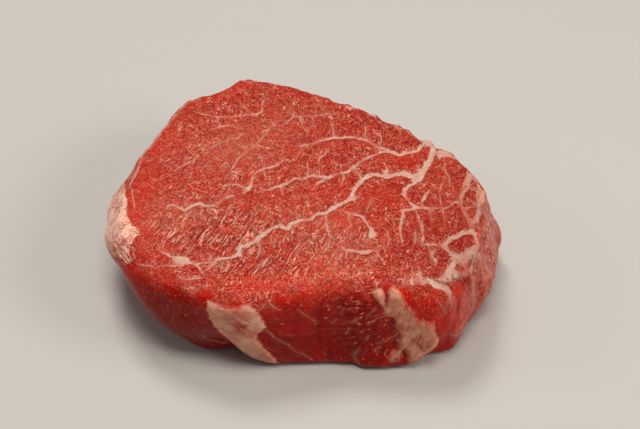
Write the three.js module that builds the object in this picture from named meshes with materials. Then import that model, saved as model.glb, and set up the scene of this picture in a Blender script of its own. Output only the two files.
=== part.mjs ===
// A raw beef fillet steak cut straight across the muscle, lying on one cut face.
// Millimetres, +Z up, X along the longest side. The origin is the middle of the
// resting face. The upper cut face shows the lobes of the muscle, parted by seams
// of connective tissue; the wall shows the lobes ending in rounded pads.
import * as THREE from 'three';

// ---- driving sizes -------------------------------------------------------
const THICKNESS = 31.5;      // resting face to upper cut face
const FOOT_FILLET = 3.0;     // rounding where the wall meets the resting face
const BELLY_REACH = 5.5;     // the rounding over the widest level starts this far above and below it
const COLUMNS = 144;         // points around the steak
const STATION_STEP = 15;     // degrees between two outline stations
const EDGE_STEPS = 3;        // facets over the upper edge
const BELLY_STEPS = 4;       // facets over the belly
const FOOT_STEPS = 2;        // facets over the foot
const RING_STEP = 0.06;      // spacing of the rings on the cut face, share of the radius

// One row every STATION_STEP degrees, counter-clockwise from +X:
// [radius of the cut face, radius at the belly, height of the belly, radius at the foot, upper edge rounding]
const STATIONS = [
  [51.6, 57.6, 10.0, 56.6, 2.5], [45.8, 52.3, 14.0, 52.5, 2.5], [39.6, 45.0, 15.0, 43.0, 2.2],
  [37.4, 40.0, 16.0, 38.5, 2.0], [36.9, 38.5, 16.0, 37.0, 2.0], [37.4, 39.0, 16.0, 37.5, 2.0],
  [40.9, 42.5, 16.0, 40.5, 2.2], [46.9, 47.5, 16.0, 45.0, 2.4], [48.5, 49.0, 17.0, 46.5, 2.2],
  [50.1, 50.5, 18.0, 48.0, 1.6], [48.5, 49.7, 19.0, 47.0, 1.6], [48.0, 53.0, 20.0, 47.8, 2.0],
  [49.5, 58.2, 21.0, 48.0, 3.0], [54.0, 57.6, 20.5, 46.8, 5.0], [56.0, 56.9, 18.0, 46.6, 8.0],
  [51.9, 55.2, 16.0, 46.4, 7.5], [49.8, 48.6, 14.0, 41.0, 5.0], [45.5, 45.3, 12.0, 42.1, 5.5],
  [40.7, 41.5, 12.0, 41.5, 6.0], [39.7, 42.0, 12.0, 43.5, 6.0], [45.5, 48.0, 12.0, 49.8, 6.0],
  [56.5, 56.0, 12.0, 53.9, 7.0], [55.5, 58.2, 12.0, 55.5, 5.5], [52.0, 59.0, 12.0, 54.0, 3.0],
];
const TOP = 0, BELLY = 1, BELLY_Z = 2, FOOT = 3, EDGE = 4;

// Knobs and nicks of the outline: [which radius, centre in degrees, half width in degrees, mm outward]
const KNOBS = [
  [TOP, 112, 4, 1.9], [TOP, 123, 4, -1.1], [TOP, 137, 4, 0.5], [TOP, 101, 5, -0.8], [TOP, 166, 6, 1.0],
  [TOP, 22, 2.2, -1.6], [TOP, 17.5, 2.5, 0.9], [TOP, 27, 2.5, 0.4], [TOP, 38, 4, 0.6], [TOP, 49, 4, -0.7],
  [TOP, 40, 14, 0.5], [BELLY, 193.5, 6, 1.7], [BELLY, 203, 5, -0.5], [BELLY, 174, 5, 0.8], [BELLY, 210, 6, -0.6],
  [FOOT, 220, 7, -0.8], [BELLY, 332, 7, -0.7], [FOOT, 330, 7, -0.5], [BELLY, 359, 4, 2.3],
  [BELLY, 355.5, 3, -0.6], [BELLY, 342.5, 3, -0.8], [BELLY, 337.5, 3, 0.6],
  [FOOT, 234, 5, 0.9], [FOOT, 241.5, 3, -1.7], [FOOT, 289, 2, -0.9], [FOOT, 291.5, 2, 0.5],
  [FOOT, 304, 6, 0.5], [FOOT, 313.5, 3.5, -1.9], [FOOT, 320, 3.5, 1.4], [FOOT, 328, 4, -0.5],
];

// Pads of muscle and fat on the wall, and the creases between them:
// [centre in degrees, height, half width in degrees, half height in mm, mm outward]
const PADS = [
  [292, 15, 8, 11, 0.9],      // rounded end of the middle muscle
  [268, 17, 6, 10, 0.4],      // flatter muscle beside it
  [249, 19, 5, 10, 0.5],      // front fat pad
  [239, 9, 4, 4, -0.8],       // crease under the front fat pad
  [301.5, 15, 1.6, 12, -0.9], // crease between the middle muscle and the corner fat
  [310.5, 15, 3.5, 8, 0.9],   // corner fat lump
  [317, 10, 2.2, 6, -0.9],    // hollow beside the corner fat
  [197, 23, 9, 4, 0.5],       // lip of the end fat cap
  [208, 9, 10, 4, -0.5],      // hollow under the lip
  [1, 22, 4.5, 4.5, -1.1],    // hollow above the flared membrane
  [338, 13, 4, 7, 0.6],       // corner of the flared membrane
];

// Main seams on the cut face: [depth, half width, [x, y] ...], shallow valleys between the lobes
const SEAMS = [
  [0.45, 2.2, [-39, -27], [-27, -31], [-17.5, -25], [-5, -17.5], [13, -6.6], [17, 1.8], [33, 2.2]],
  [0.40, 2.0, [-12, -3], [-4, 1], [7.6, 2.6], [15, 7.5], [27, 12.4]],
  [0.40, 2.0, [0, 15.4], [9, 19.2], [16, 18.7], [28, 12], [37, 16.2], [37, 10], [28.6, -4], [41, -9.4], [47, 1]],
  [0.30, 1.8, [-39, -9.4], [-34, -10.5], [-20, -5.4], [-15, 3.8], [-7, 8.3]],
];
// Swellings of the cut face: [x, y, half width, mm up]
const SWELLS = [
  [-22, -16, 13, 0.5], [4, 7, 9, 0.3], [-12, 22, 15, 0.4], [22, -18, 11, 0.4], [36.8, 14.6, 1.9, 1.1], [44, -20, 7, 0.3],
];
const MIDDLE = [0.876, 0.901];   // centre of the bounding box, from the pole of the stations; seams and swellings are measured from it
const EDGE_FADE = 7.0;       // the relief of the cut face fades out this far down the wall

// ---- outline and wall ----------------------------------------------------
const rad = (deg) => deg * Math.PI / 180;
const bell = (d, w) => Math.exp(-(d * d) / (w * w));
const turn = (a, b) => ((a - b + 540) % 360) - 180;   // signed angle from b to a, degrees

// the five outline values at an angle: a smooth closed curve through the stations, plus the knobs
function station(deg) {
  const n = STATIONS.length, u = deg / STATION_STEP, i = Math.floor(u), f = u - i;
  const row = (k) => STATIONS[(i + k + n) % n];
  const out = [0, 1, 2, 3, 4].map((c) => {
    const a = row(-1)[c], b = row(0)[c], d = row(1)[c], e = row(2)[c];
    return 0.5 * (2 * b + (d - a) * f + (2 * a - 5 * b + 4 * d - e) * f * f + (3 * b - a - 3 * d + e) * f * f * f);
  });
  for (const [which, centre, width, mm] of KNOBS) out[which] += mm * bell(turn(deg, centre), width);
  return out;
}

// points of the arc that rounds corner B of the line A-B-C, from the A side to the C side;
// its size is a radius, or with `reach` the distance from B at which it starts
function fillet(A, B, C, size, steps, reach = false) {
  const unit = (P) => { const l = Math.hypot(P[0] - B[0], P[1] - B[1]); return [(P[0] - B[0]) / l, (P[1] - B[1]) / l]; };
  const a = unit(A), c = unit(C);
  const w = Math.acos(Math.min(0.9999, Math.max(-0.9999, a[0] * c[0] + a[1] * c[1])));
  const radius = reach ? size * Math.tan(w / 2) : size;
  const t = radius / Math.tan(w / 2), m = Math.hypot(a[0] + c[0], a[1] + c[1]), k = radius / Math.sin(w / 2);
  const O = [B[0] + (a[0] + c[0]) / m * k, B[1] + (a[1] + c[1]) / m * k];
  const v0 = [B[0] + a[0] * t - O[0], B[1] + a[1] * t - O[1]], v1 = [B[0] + c[0] * t - O[0], B[1] + c[1] * t - O[1]];
  const start = Math.atan2(v0[1], v0[0]);
  const sweep = Math.atan2(v0[0] * v1[1] - v0[1] * v1[0], v0[0] * v1[0] + v0[1] * v1[1]);
  const out = [];
  for (let i = 0; i <= steps; i++) {
    const g = start + sweep * i / steps;
    out.push([O[0] + radius * Math.cos(g), O[1] + radius * Math.sin(g)]);
  }
  return out;
}

// [radius, height] points of the wall at one angle, from the upper edge down to the foot
function wall(deg) {
  const s = station(deg), H = THICKNESS;
  const A = [s[TOP] - 20, H], B = [s[TOP], H], C = [s[BELLY], s[BELLY_Z]], D = [s[FOOT], 0], E = [s[FOOT] - 20, 0];
  const edge = fillet(A, B, C, s[EDGE], EDGE_STEPS);
  const belly = fillet(B, C, D, BELLY_REACH, BELLY_STEPS, true);
  const foot = fillet(C, D, E, FOOT_FILLET, FOOT_STEPS);
  const mid = (p, q) => [(p[0] + q[0]) / 2, (p[1] + q[1]) / 2];
  const line = [...edge, mid(edge[EDGE_STEPS], belly[0]), ...belly, mid(belly[BELLY_STEPS], foot[0]), ...foot];
  return line.map(([r, z]) => {
    let out = r;
    for (const [centre, height, width, tall, mm] of PADS) out += mm * bell(turn(deg, centre), width) * bell(z - height, tall);
    return [out, z];
  });
}

// ---- relief of the cut face ---------------------------------------------
function distanceToLine(x, y, points) {
  let best = Infinity;
  for (let i = 0; i + 1 < points.length; i++) {
    const [ax, ay] = points[i], [bx, by] = points[i + 1];
    const dx = bx - ax, dy = by - ay;
    const t = Math.min(1, Math.max(0, ((x - ax) * dx + (y - ay) * dy) / (dx * dx + dy * dy)));
    best = Math.min(best, Math.hypot(x - ax - t * dx, y - ay - t * dy));
  }
  return best;
}
function relief(x, y) {
  let z = 0;
  for (const [depth, width, ...line] of SEAMS) z -= depth * bell(distanceToLine(x, y, line), width);
  for (const [cx, cy, width, mm] of SWELLS) z += mm * bell(Math.hypot(x - cx, y - cy), width);
  return z;
}
function lifted(x, y, z) {
  const t = Math.min(1, Math.max(0, 1 - (THICKNESS - z) / EDGE_FADE));
  return [x, y, z + relief(x - MIDDLE[0], y - MIDDLE[1]) * t * t * (3 - 2 * t)];
}

// ---- closed skin -----------------------------------------------------------
function steakSkin() {
  const points = [], faces = [];
  const add = (x, y, z) => points.push([x, y, z]) - 1;
  const ringAt = (n, at) => Array.from({ length: n }, (_, j) => add(...at(j, 360 * j / n)));
  const walls = Array.from({ length: COLUMNS }, (_, j) => wall(360 * j / COLUMNS));
  const rows = walls[0].length;

  // wall, from the upper edge down to the foot; upper ring first
  const bands = [];
  for (let k = 0; k < rows; k++) {
    bands.push(ringAt(COLUMNS, (j, deg) => {
      const [r, z] = walls[j][k];
      return lifted(r * Math.cos(rad(deg)), r * Math.sin(rad(deg)), z);
    }));
  }
  const band = (upper, lower) => {
    const n = upper.length;
    for (let j = 0; j < n; j++) {
      const i = (j + 1) % n;
      faces.push([upper[j], lower[j], lower[i]], [upper[j], lower[i], upper[i]]);
    }
  };
  for (let k = 0; k + 1 < rows; k++) band(bands[k], bands[k + 1]);

  // upper cut face: rings that halve their points towards the middle
  let ring = bands[0];
  for (let share = 1 - RING_STEP; share > 0.08; share -= RING_STEP) {
    const wanted = share > 0.5 ? COLUMNS : share > 0.25 ? COLUMNS / 2 : share > 0.13 ? COLUMNS / 4 : COLUMNS / 8;
    const inner = ringAt(wanted, (j, deg) => {
      const r = walls[j * COLUMNS / wanted][0][0] * share;
      return lifted(r * Math.cos(rad(deg)), r * Math.sin(rad(deg)), THICKNESS);
    });
    const n = inner.length;
    if (n === ring.length) band(inner, ring);
    else for (let j = 0; j < n; j++) {
      const a = ring[2 * j], b = ring[2 * j + 1], c = ring[(2 * j + 2) % ring.length], i = (j + 1) % n;
      faces.push([inner[j], a, b], [inner[j], b, inner[i]], [inner[i], b, c]);
    }
    ring = inner;
  }
  const crown = add(...lifted(0, 0, THICKNESS));
  for (let j = 0; j < ring.length; j++) faces.push([crown, ring[j], ring[(j + 1) % ring.length]]);

  // resting face, flat
  const foot = bands[rows - 1], rest = add(0, 0, 0);
  for (let j = 0; j < foot.length; j++) faces.push([rest, foot[(j + 1) % foot.length], foot[j]]);

  const skin = new THREE.BufferGeometry();
  skin.setAttribute('position', new THREE.Float32BufferAttribute(points.flat(), 3));
  skin.setIndex(faces.flat());
  skin.computeBoundingBox();
  const box = skin.boundingBox;
  skin.translate(-(box.min.x + box.max.x) / 2, -(box.min.y + box.max.y) / 2, 0);
  skin.computeVertexNormals();
  return skin;
}

const rawBeef = new THREE.MeshStandardMaterial({ color: 0xb53a2c, roughness: 0.38, metalness: 0 });
rawBeef.name = 'raw_beef';

const steak = new THREE.Mesh(steakSkin(), rawBeef);
steak.name = 'steak';

const part = new THREE.Group();
part.name = 'beef_fillet_steak';
part.add(steak);
export default part;
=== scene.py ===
# A raw beef fillet steak lying on one cut face, seen from the front and above.
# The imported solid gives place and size; one finely modelled skin is shown in its stead.
import math

import bpy
import numpy as np
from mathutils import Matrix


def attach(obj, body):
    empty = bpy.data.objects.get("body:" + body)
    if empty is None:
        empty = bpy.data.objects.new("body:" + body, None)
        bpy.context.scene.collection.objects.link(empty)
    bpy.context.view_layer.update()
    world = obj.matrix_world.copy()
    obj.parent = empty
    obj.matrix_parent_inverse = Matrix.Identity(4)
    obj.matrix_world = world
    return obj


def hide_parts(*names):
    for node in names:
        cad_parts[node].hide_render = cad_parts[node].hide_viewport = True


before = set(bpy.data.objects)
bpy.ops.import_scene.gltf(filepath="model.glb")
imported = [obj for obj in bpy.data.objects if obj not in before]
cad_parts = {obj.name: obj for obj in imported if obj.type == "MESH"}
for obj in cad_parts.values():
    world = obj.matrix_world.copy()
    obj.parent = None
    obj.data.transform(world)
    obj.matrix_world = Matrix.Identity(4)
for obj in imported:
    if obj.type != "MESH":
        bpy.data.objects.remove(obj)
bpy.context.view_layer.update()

# ---------------------------------------------------------------- sizes, mm
THICKNESS = 31.5
FOOT_FILLET = 3.0
BELLY_REACH = 5.5
STATION_STEP = 15
# radius of the cut face, radius at the belly, height of the belly, radius at the foot, upper edge rounding
STATIONS = np.array([
    [51.6, 57.6, 10.0, 56.6, 2.5], [45.8, 52.3, 14.0, 52.5, 2.5], [39.6, 45.0, 15.0, 43.0, 2.2],
    [37.4, 40.0, 16.0, 38.5, 2.0], [36.9, 38.5, 16.0, 37.0, 2.0], [37.4, 39.0, 16.0, 37.5, 2.0],
    [40.9, 42.5, 16.0, 40.5, 2.2], [46.9, 47.5, 16.0, 45.0, 2.4], [48.5, 49.0, 17.0, 46.5, 2.2],
    [50.1, 50.5, 18.0, 48.0, 1.6], [48.5, 49.7, 19.0, 47.0, 1.6], [48.0, 53.0, 20.0, 47.8, 2.0],
    [49.5, 58.2, 21.0, 48.0, 3.0], [54.0, 57.6, 20.5, 46.8, 5.0], [56.0, 56.9, 18.0, 46.6, 8.0],
    [51.9, 55.2, 16.0, 46.4, 7.5], [49.8, 48.6, 14.0, 41.0, 5.0], [45.5, 45.3, 12.0, 42.1, 5.5],
    [40.7, 41.5, 12.0, 41.5, 6.0], [39.7, 42.0, 12.0, 43.5, 6.0], [45.5, 48.0, 12.0, 49.8, 6.0],
    [56.5, 56.0, 12.0, 53.9, 7.0], [55.5, 58.2, 12.0, 55.5, 5.5], [52.0, 59.0, 12.0, 54.0, 3.0]])
TOP, BELLY, BELLY_Z, FOOT, EDGE = range(5)
# knobs and nicks of the outline: which radius, centre in degrees, half width in degrees, mm outward
KNOBS = [
    (TOP, 112, 4, 1.9), (TOP, 123, 4, -1.1), (TOP, 137, 4, 0.5), (TOP, 101, 5, -0.8), (TOP, 166, 6, 1.0),
    (TOP, 22, 2.2, -1.6), (TOP, 17.5, 2.5, 0.9), (TOP, 27, 2.5, 0.4), (TOP, 38, 4, 0.6), (TOP, 49, 4, -0.7),
    (TOP, 40, 14, 0.5), (BELLY, 193.5, 6, 1.7), (BELLY, 203, 5, -0.5), (BELLY, 174, 5, 0.8), (BELLY, 210, 6, -0.6),
    (FOOT, 220, 7, -0.8), (BELLY, 332, 7, -0.7), (FOOT, 330, 7, -0.5), (BELLY, 359, 4, 2.3), (BELLY, 355.5, 3, -0.6), (BELLY, 342.5, 3, -0.8), (BELLY, 337.5, 3, 0.6),
    (FOOT, 234, 5, 0.9), (FOOT, 241.5, 3, -1.7), (FOOT, 289, 2, -0.9), (FOOT, 291.5, 2, 0.5),
    (FOOT, 304, 6, 0.5), (FOOT, 313.5, 3.5, -1.9), (FOOT, 320, 3.5, 1.4), (FOOT, 328, 4, -0.5)]
# pads of muscle and fat on the wall and the creases between them: degrees, height, half widths, mm outward
PADS = [
    (292, 15, 8, 11, 0.9), (268, 17, 6, 10, 0.4), (249, 19, 5, 10, 0.5), (239, 9, 4, 4, -0.8),
    (301.5, 15, 1.6, 12, -0.9), (310.5, 15, 3.5, 8, 0.9), (317, 10, 2.2, 6, -0.9), (197, 23, 9, 4, 0.5),
    (208, 9, 10, 4, -0.5), (1, 22, 4.5, 4.5, -1.1), (338, 13, 4, 7, 0.6)]
# swellings of the cut face: x, y, half width, mm up
SWELLS = [(-22, -16, 13, 0.5), (4, 7, 9, 0.3), (-12, 22, 15, 0.4), (22, -18, 11, 0.4), (36.8, 14.6, 1.9, 1.1), (44, -20, 7, 0.3)]
# main seams as valleys: depth, half width, then x, y
VALLEYS = [
    (0.45, 2.2, [(-39, -27), (-27, -31), (-17.5, -25), (-5, -17.5), (13, -6.6), (17, 1.8), (33, 2.2)]),
    (0.40, 2.0, [(-12, -3), (-4, 1), (7.6, 2.6), (15, 7.5), (27, 12.4)]),
    (0.40, 2.0, [(0, 15.4), (9, 19.2), (16, 18.7), (28, 12), (37, 16.2), (37, 10), (28.6, -4), (41, -9.4), (47, 1)]),
    (0.30, 1.8, [(-39, -9.4), (-34, -10.5), (-20, -5.4), (-15, 3.8), (-7, 8.3)])]
EDGE_FADE = 7.0
MIDDLE = np.array([0.876, 0.901])    # centre of the bounding box, seen from the pole of the stations

RINGS = 100                          # rings on the upper cut face
COLUMNS = 8 * RINGS                  # points around
WALL_ROWS = 56
UNDER_RINGS = 42                     # rings on the resting face
FIBRE = math.radians(64)             # direction of the torn fibres on the cut face

# ---------------------------------------------------------------- read from the look of the piece
# Seams and fine veins of the upper cut face: [x, y, half width] in mm
VEINS = [
    [(-40.3, -25.7, 0.21), (-37.3, -27.9, 0.32), (-35, -29.4, 0.62), (-32.8, -30.1, 0.57), (-30.6, -30.5, 0.35), (-27.5, -30.5, 0.35), (-25.4, -30.1, 0.35), (-24, -29, 0.42), (-22.1, -28.8, 0.46), (-20.2, -28.6, 0.46), (-18.8, -27.9, 0.53), (-18.2, -26, 0.53), (-17.8, -24.5, 0.53), (-16.7, -24, 0.53), (-15.4, -23.4, 0.53), (-14, -22.5, 0.6), (-12.6, -20.8, 0.64), (-11.3, -19.3, 0.57), (-9.9, -18.1, 0.53), (-8.5, -17.4, 0.46), (-7.1, -16.6, 0.46), (-5.7, -17.4, 0.53), (-4.8, -17.6, 0.6), (-4.3, -15.8, 0.5), (-2.9, -15.1, 0.46), (-1.5, -14.3, 0.46), (-0.1, -14.3, 0.42), (1.6, -13.9, 0.42), (2.7, -12.4, 0.46), (3.9, -11.6, 0.46), (5.8, -11.6, 0.5), (7, -10.4, 0.53), (8.4, -9.1, 0.71), (9.8, -8.1, 0.53), (11.3, -7.3, 0.53), (12.4, -6.5, 0.57), (13.3, -4.1, 0.53), (14.5, -1.3, 0.53), (15.7, 0.7, 0.57), (16.6, 1.9, 0.57), (18.1, 3.1, 0.57), (19.5, 3.7, 0.57), (21, 3.7, 0.57), (22.7, 3.1, 0.57), (24.1, 2.9, 0.6), (25.9, 3.9, 0.64), (27.9, 4.1, 0.71), (29.7, 3.9, 0.78), (31.1, 3.1, 0.85), (32.5, 2.3, 0.89)],
    [(22.7, 3.1, 0.53), (23.3, 4.7, 0.46), (23.5, 5.7, 0.25)],
    [(12.4, -6.5, 0.53), (13.6, -6.1, 0.71), (14.7, -5.7, 0.27)],
    [(-12.9, -22.3, 0.28), (-12.5, -26, 0.28), (-13.3, -29, 0.28)],
    [(-18.1, -24.5, 0.42), (-18.1, -27.9, 0.46)],
    [(-27.7, -33.7, 0.21), (-26.3, -32.6, 0.28), (-25.1, -30.5, 0.42), (-24.3, -29.2, 0.42)],
    [(-30.3, -30.5, 0.39), (-28.8, -32.6, 0.32), (-27.9, -34.8, 0.18)],
    [(-13.6, -3.9, 0.18), (-12.2, -2.9, 0.28), (-10.2, -2.1, 0.35), (-8.5, -1.3, 0.39), (-7.1, -1.1, 0.42), (-5.7, -0.1, 0.39), (-4.2, 1.1, 0.35), (-3.1, 1.9, 0.35), (-0.8, 1.9, 0.35), (0.7, 2.7, 0.35), (1.8, 3.1, 0.35), (3.6, 2.7, 0.39), (6.2, 2.3, 0.46), (7.3, 2.7, 0.42), (9.1, 3.7, 0.39), (10.8, 4.3, 0.46), (12.3, 5.1, 0.42), (13.5, 6.4, 0.42), (14.3, 7.2, 0.42), (15.8, 8.8, 0.39), (17.3, 9.9, 0.39), (18.8, 10.9, 0.35), (20.3, 11.7, 0.35), (21.8, 12.8, 0.39), (23.3, 13.4, 0.46), (25.3, 13.4, 0.5), (26.8, 12.6, 0.53)],
    [(-7.1, -1.3, 0.28), (-6.7, -4.5, 0.28)],
    [(6.2, 2.3, 0.39), (4.7, 0.7, 0.35), (3.6, -0.1, 0.35), (2.7, -1.3, 0.28), (2.4, -2.3, 0.18)],
    [(14, 5.9, 0.39), (15.2, 4.3, 0.35), (16, 2.7, 0.46)],
    [(10.8, 3.9, 0.25), (11.1, 1.9, 0.25), (10.5, 0.3, 0.14)],
    [(0.4, 7.6, 0.14), (0.7, 5.1, 0.25), (0.7, 3.1, 0.25)],
    [(3.9, 5.5, 0.14), (3.9, 2.7, 0.28)],
    [(-2.3, 14.9, 0.18), (-0.3, 15.5, 0.28), (1.8, 16.3, 0.32), (4.1, 17.6, 0.35), (6.5, 18.4, 0.39), (8.3, 19.3, 0.46), (10.1, 18.9, 0.39), (11.9, 19.3, 0.39), (13.6, 19.3, 0.39), (15.4, 18.7, 0.39), (17.2, 18.2, 0.35), (18.6, 17.6, 0.35), (19.8, 16.3, 0.35), (21.2, 15.1, 0.35), (23.9, 14.2, 0.42), (25.3, 13.4, 0.46), (27.6, 12.1, 0.57), (29.1, 12.8, 0.6), (30.9, 13, 0.6), (32.4, 13.4, 0.6), (33.6, 14.6, 0.6), (35.1, 15.7, 0.71), (36.6, 16.1, 0.92), (37.2, 14.6, 0.81), (37.3, 12.1, 0.71), (36.6, 10.1, 0.74), (35.7, 8.4, 0.78), (34.7, 6.8, 0.89), (33.8, 4.7, 0.96), (33.1, 2.7, 0.99), (32.5, 1.5, 0.89), (31, 0.3, 0.6), (29.5, -0.9, 0.53), (28.6, -2.5, 0.5), (28.2, -4.1, 0.42), (28.7, -5.7, 0.35), (29.6, -6.9, 0.35), (30.4, -8.5, 0.39), (31.4, -9.6, 0.42), (32.9, -9.8, 0.39), (34.8, -10, 0.39), (37.1, -10, 0.35), (38.8, -9.6, 0.42), (40.6, -9.3, 0.46), (41.8, -8.1, 0.42), (43, -7.3, 0.35), (44.1, -6.9, 0.39), (44.5, -4.9, 0.46), (45.5, -3.3, 0.42), (46.5, -1.3, 0.42), (47.2, 1.1, 0.39), (46.9, 2.7, 0.53), (47.1, 4.3, 0.46)],
    [(33.1, 2.7, 0.46), (32.6, 5.1, 0.42), (32.4, 6.8, 0.18)],
    [(44.1, -6.9, 0.35), (44.5, -8.5, 0.42), (44.5, -10, 0.39), (45, -12, 0.35), (45.7, -13.9, 0.35), (46.1, -15.5, 0.42), (46.3, -17.7, 0.46), (45.6, -19.3, 0.46)],
    [(44.5, -10, 0.35), (45.6, -10, 0.39), (46.8, -9.8, 0.39), (48.2, -9.4, 0.28)],
    [(47.5, -7.3, 0.35), (48.3, -8.1, 0.5), (49.1, -8.9, 0.57), (49.6, -10.4, 0.53), (49.2, -12.4, 0.53), (48.6, -14.3, 0.53), (48.1, -15.8, 0.35)],
    [(45, -12, 0.25), (45.4, -13.1, 0.25), (46.8, -14.5, 0.25), (48, -13.5, 0.25), (48.8, -12, 0.25)],
    [(-24.1, -1.7, 0.21), (-23.5, -1.3, 0.32), (-21.8, -0.5, 0.39), (-20.1, -0.5, 0.35), (-18.3, -1.3, 0.39), (-16.6, -2.1, 0.53), (-15.9, -1.3, 0.39), (-15.5, 1.9, 0.28), (-15, 3.9, 0.32), (-13.3, 5.1, 0.35), (-11.9, 5.9, 0.35), (-10.4, 6.4, 0.35), (-8.7, 7.2, 0.35), (-7.5, 8.4, 0.32), (-6.7, 9, 0.21)],
    [(-17.9, -4.5, 0.18), (-17.1, -3.3, 0.32), (-16.3, -2.5, 0.46)],
    [(-39.3, -10, 0.18), (-38.8, -8.9, 0.28), (-38, -8.5, 0.35), (-36.3, -9.3, 0.32), (-34.5, -10.6, 0.39), (-33.4, -10, 0.46), (-32.3, -8.9, 0.46), (-30.9, -8.3, 0.46), (-29.8, -8.1, 0.5), (-28.9, -8.9, 0.42), (-27.2, -9.3, 0.39), (-25.5, -9.1, 0.35), (-24.6, -8.1, 0.32), (-23.6, -6.5, 0.32), (-22.2, -5.7, 0.35), (-20.5, -5.1, 0.25)],
    [(-34.2, -10.8, 0.27), (-33.8, -13.1, 0.14)],
    [(-29.4, -9.3, 0.27), (-29.5, -13.1, 0.16)],
    [(-32.3, 29.2, 0.14), (-28.9, 28.3, 0.23), (-26.5, 27.5, 0.23), (-23.5, 27.5, 0.23), (-20.5, 27.5, 0.23), (-19.3, 27.9, 0.23), (-16.9, 28.3, 0.39), (-15.1, 28.3, 0.32), (-13.3, 29.6, 0.23), (-13.4, 32.7, 0.23), (-12.8, 34.5, 0.23), (-11.6, 35.4, 0.14)],
    [(-20.4, 34.9, 0.11), (-19.4, 32.3, 0.19), (-17.9, 30.5, 0.11)],
    [(-26.8, 27.5, 0.19), (-26, 22.7, 0.11)],
    [(-28, 21.8, 0.11), (-25.7, 23.1, 0.19), (-23.3, 23.6, 0.19), (-21.2, 22.7, 0.19), (-19.1, 21.8, 0.11)],
    [(-28.2, 13.8, 0.11), (-26.8, 15.1, 0.23), (-24.8, 16.3, 0.23), (-22.5, 17.6, 0.23), (-20.4, 18, 0.23), (-19.6, 18.9, 0.11)],
    [(-38, 5.1, 0.18), (-36.1, 6.8, 0.34), (-34.4, 8, 0.32), (-33, 8.8, 0.28), (-31.6, 11.3, 0.11)],
    [(-38, 19.7, 0.11), (-37.6, 22.3, 0.21), (-37.1, 23.6, 0.11)],
    [(-9.3, 24.4, 0.11), (-10.8, 22.3, 0.18), (-11.6, 20.6, 0.18), (-13, 18.4, 0.18), (-14.2, 16.3, 0.18), (-15.9, 13.8, 0.18), (-17.9, 12.1, 0.18), (-19.8, 9.6, 0.18), (-20.9, 7.2, 0.18), (-21.7, 5.1, 0.11)],
    [(-7.5, 25.7, 0.11), (-5.7, 25.1, 0.21), (-4.8, 26.2, 0.21), (-3.7, 27.5, 0.21), (-1.9, 27.5, 0.28), (-0.1, 27.9, 0.21), (1.7, 27.9, 0.21), (3.5, 28.3, 0.21), (5.6, 28.6, 0.21), (8.4, 28.8, 0.11)],
    [(1.7, 27.9, 0.18), (2.3, 25.3, 0.11)],
    [(-3.7, 27.5, 0.18), (-4, 29.6, 0.11)],
    [(-1.9, 27, 0.18), (-0.9, 22.7, 0.11)],
    [(7.1, 26.2, 0.11), (8, 22.7, 0.19), (8.3, 19.7, 0.19)],
    [(3.6, 8, 0.11), (4.1, 10.1, 0.21), (5.6, 11.3, 0.21), (6.5, 13.4, 0.11)],
    [(-2.6, 10.5, 0.11), (-1.7, 12.6, 0.11)],
    [(15.6, 27.5, 0.11), (16.4, 26.2, 0.11)],
    [(17.6, 24.4, 0.11), (17.8, 21.8, 0.19), (17.5, 19.7, 0.19)],
    [(20.2, 21.4, 0.14), (22.2, 19.3, 0.23), (22.2, 16.7, 0.14)],
    [(-32.9, 29.6, 0.11), (-32.1, 32.3, 0.11)],
    [(-32.8, 0.7, 0.14), (-31.6, 0.1, 0.25), (-30.5, 0.3, 0.11)],
    [(-49.9, -2.9, 0.09), (-49.3, -6.1, 0.16), (-48.6, -9.6, 0.09)],
    [(5.8, -12, 0.28), (5.8, -14.3, 0.28), (6.1, -17, 0.28), (6.4, -18.9, 0.28), (6.9, -20.8, 0.28), (8.1, -21.9, 0.14)],
    [(10.7, -11.2, 0.18), (11.8, -12, 0.32), (13.2, -12.4, 0.32), (14.9, -12.9, 0.39), (16, -13.5, 0.39), (16.8, -15.1, 0.35), (17.6, -17, 0.35), (18.5, -18.5, 0.42), (19, -20.4, 0.71), (18.1, -21.5, 0.42), (17.5, -22.7, 0.32), (16.7, -23.4, 0.18)],
    [(11.8, -12, 0.25), (12.3, -14.3, 0.25), (12.9, -17, 0.11)],
    [(10, -24.2, 0.18), (11.1, -25.7, 0.32), (12.5, -26.2, 0.39), (14.1, -26.4, 0.46), (15.8, -27, 0.6), (17.4, -26.8, 0.5), (18.8, -26.4, 0.35), (19.9, -26.8, 0.35), (20.4, -28.6, 0.18)],
    [(11.6, -26, 0.21), (11.3, -29, 0.11)],
    [(6.9, -22.3, 0.21), (6.4, -24.9, 0.21), (5.3, -26.8, 0.11)],
    [(0.8, -22.3, 0.11), (-0.6, -24.5, 0.21), (-2, -26, 0.21), (-2.2, -27.9, 0.21), (-1.4, -29.4, 0.11)],
    [(27.4, -11.2, 0.35), (27.6, -13.1, 0.46), (27.1, -15.5, 0.5), (26.6, -18.1, 0.39), (26.8, -20.8, 0.32), (27, -23.8, 0.21)],
    [(27.4, -11.2, 0.35), (29.1, -10.8, 0.42), (30.9, -10, 0.5)],
    [(32.9, -15.5, 0.18), (32.9, -17.7, 0.32), (33, -20, 0.35), (32.7, -22.3, 0.42), (32.8, -24.5, 0.25)],
    [(30.8, -19.6, 0.18), (30.8, -21.5, 0.39), (30.6, -23.4, 0.18)],
    [(31.4, -11.2, 0.18), (32, -13.5, 0.28), (32.3, -16.2, 0.21), (32.8, -18.5, 0.18)],
    [(32.5, -24.2, 0.25), (33.9, -24, 0.35), (35.6, -24, 0.35), (37, -24.2, 0.42), (38.4, -23.8, 0.53), (39.6, -22.5, 0.6), (40.5, -21.3, 0.53), (41.6, -20.8, 0.42), (43.3, -20.6, 0.46), (45.1, -19.5, 0.53), (46.2, -18.5, 0.64), (47.3, -19.3, 0.57), (48.1, -20.4, 0.53), (48.3, -21.9, 0.53)],
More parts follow.
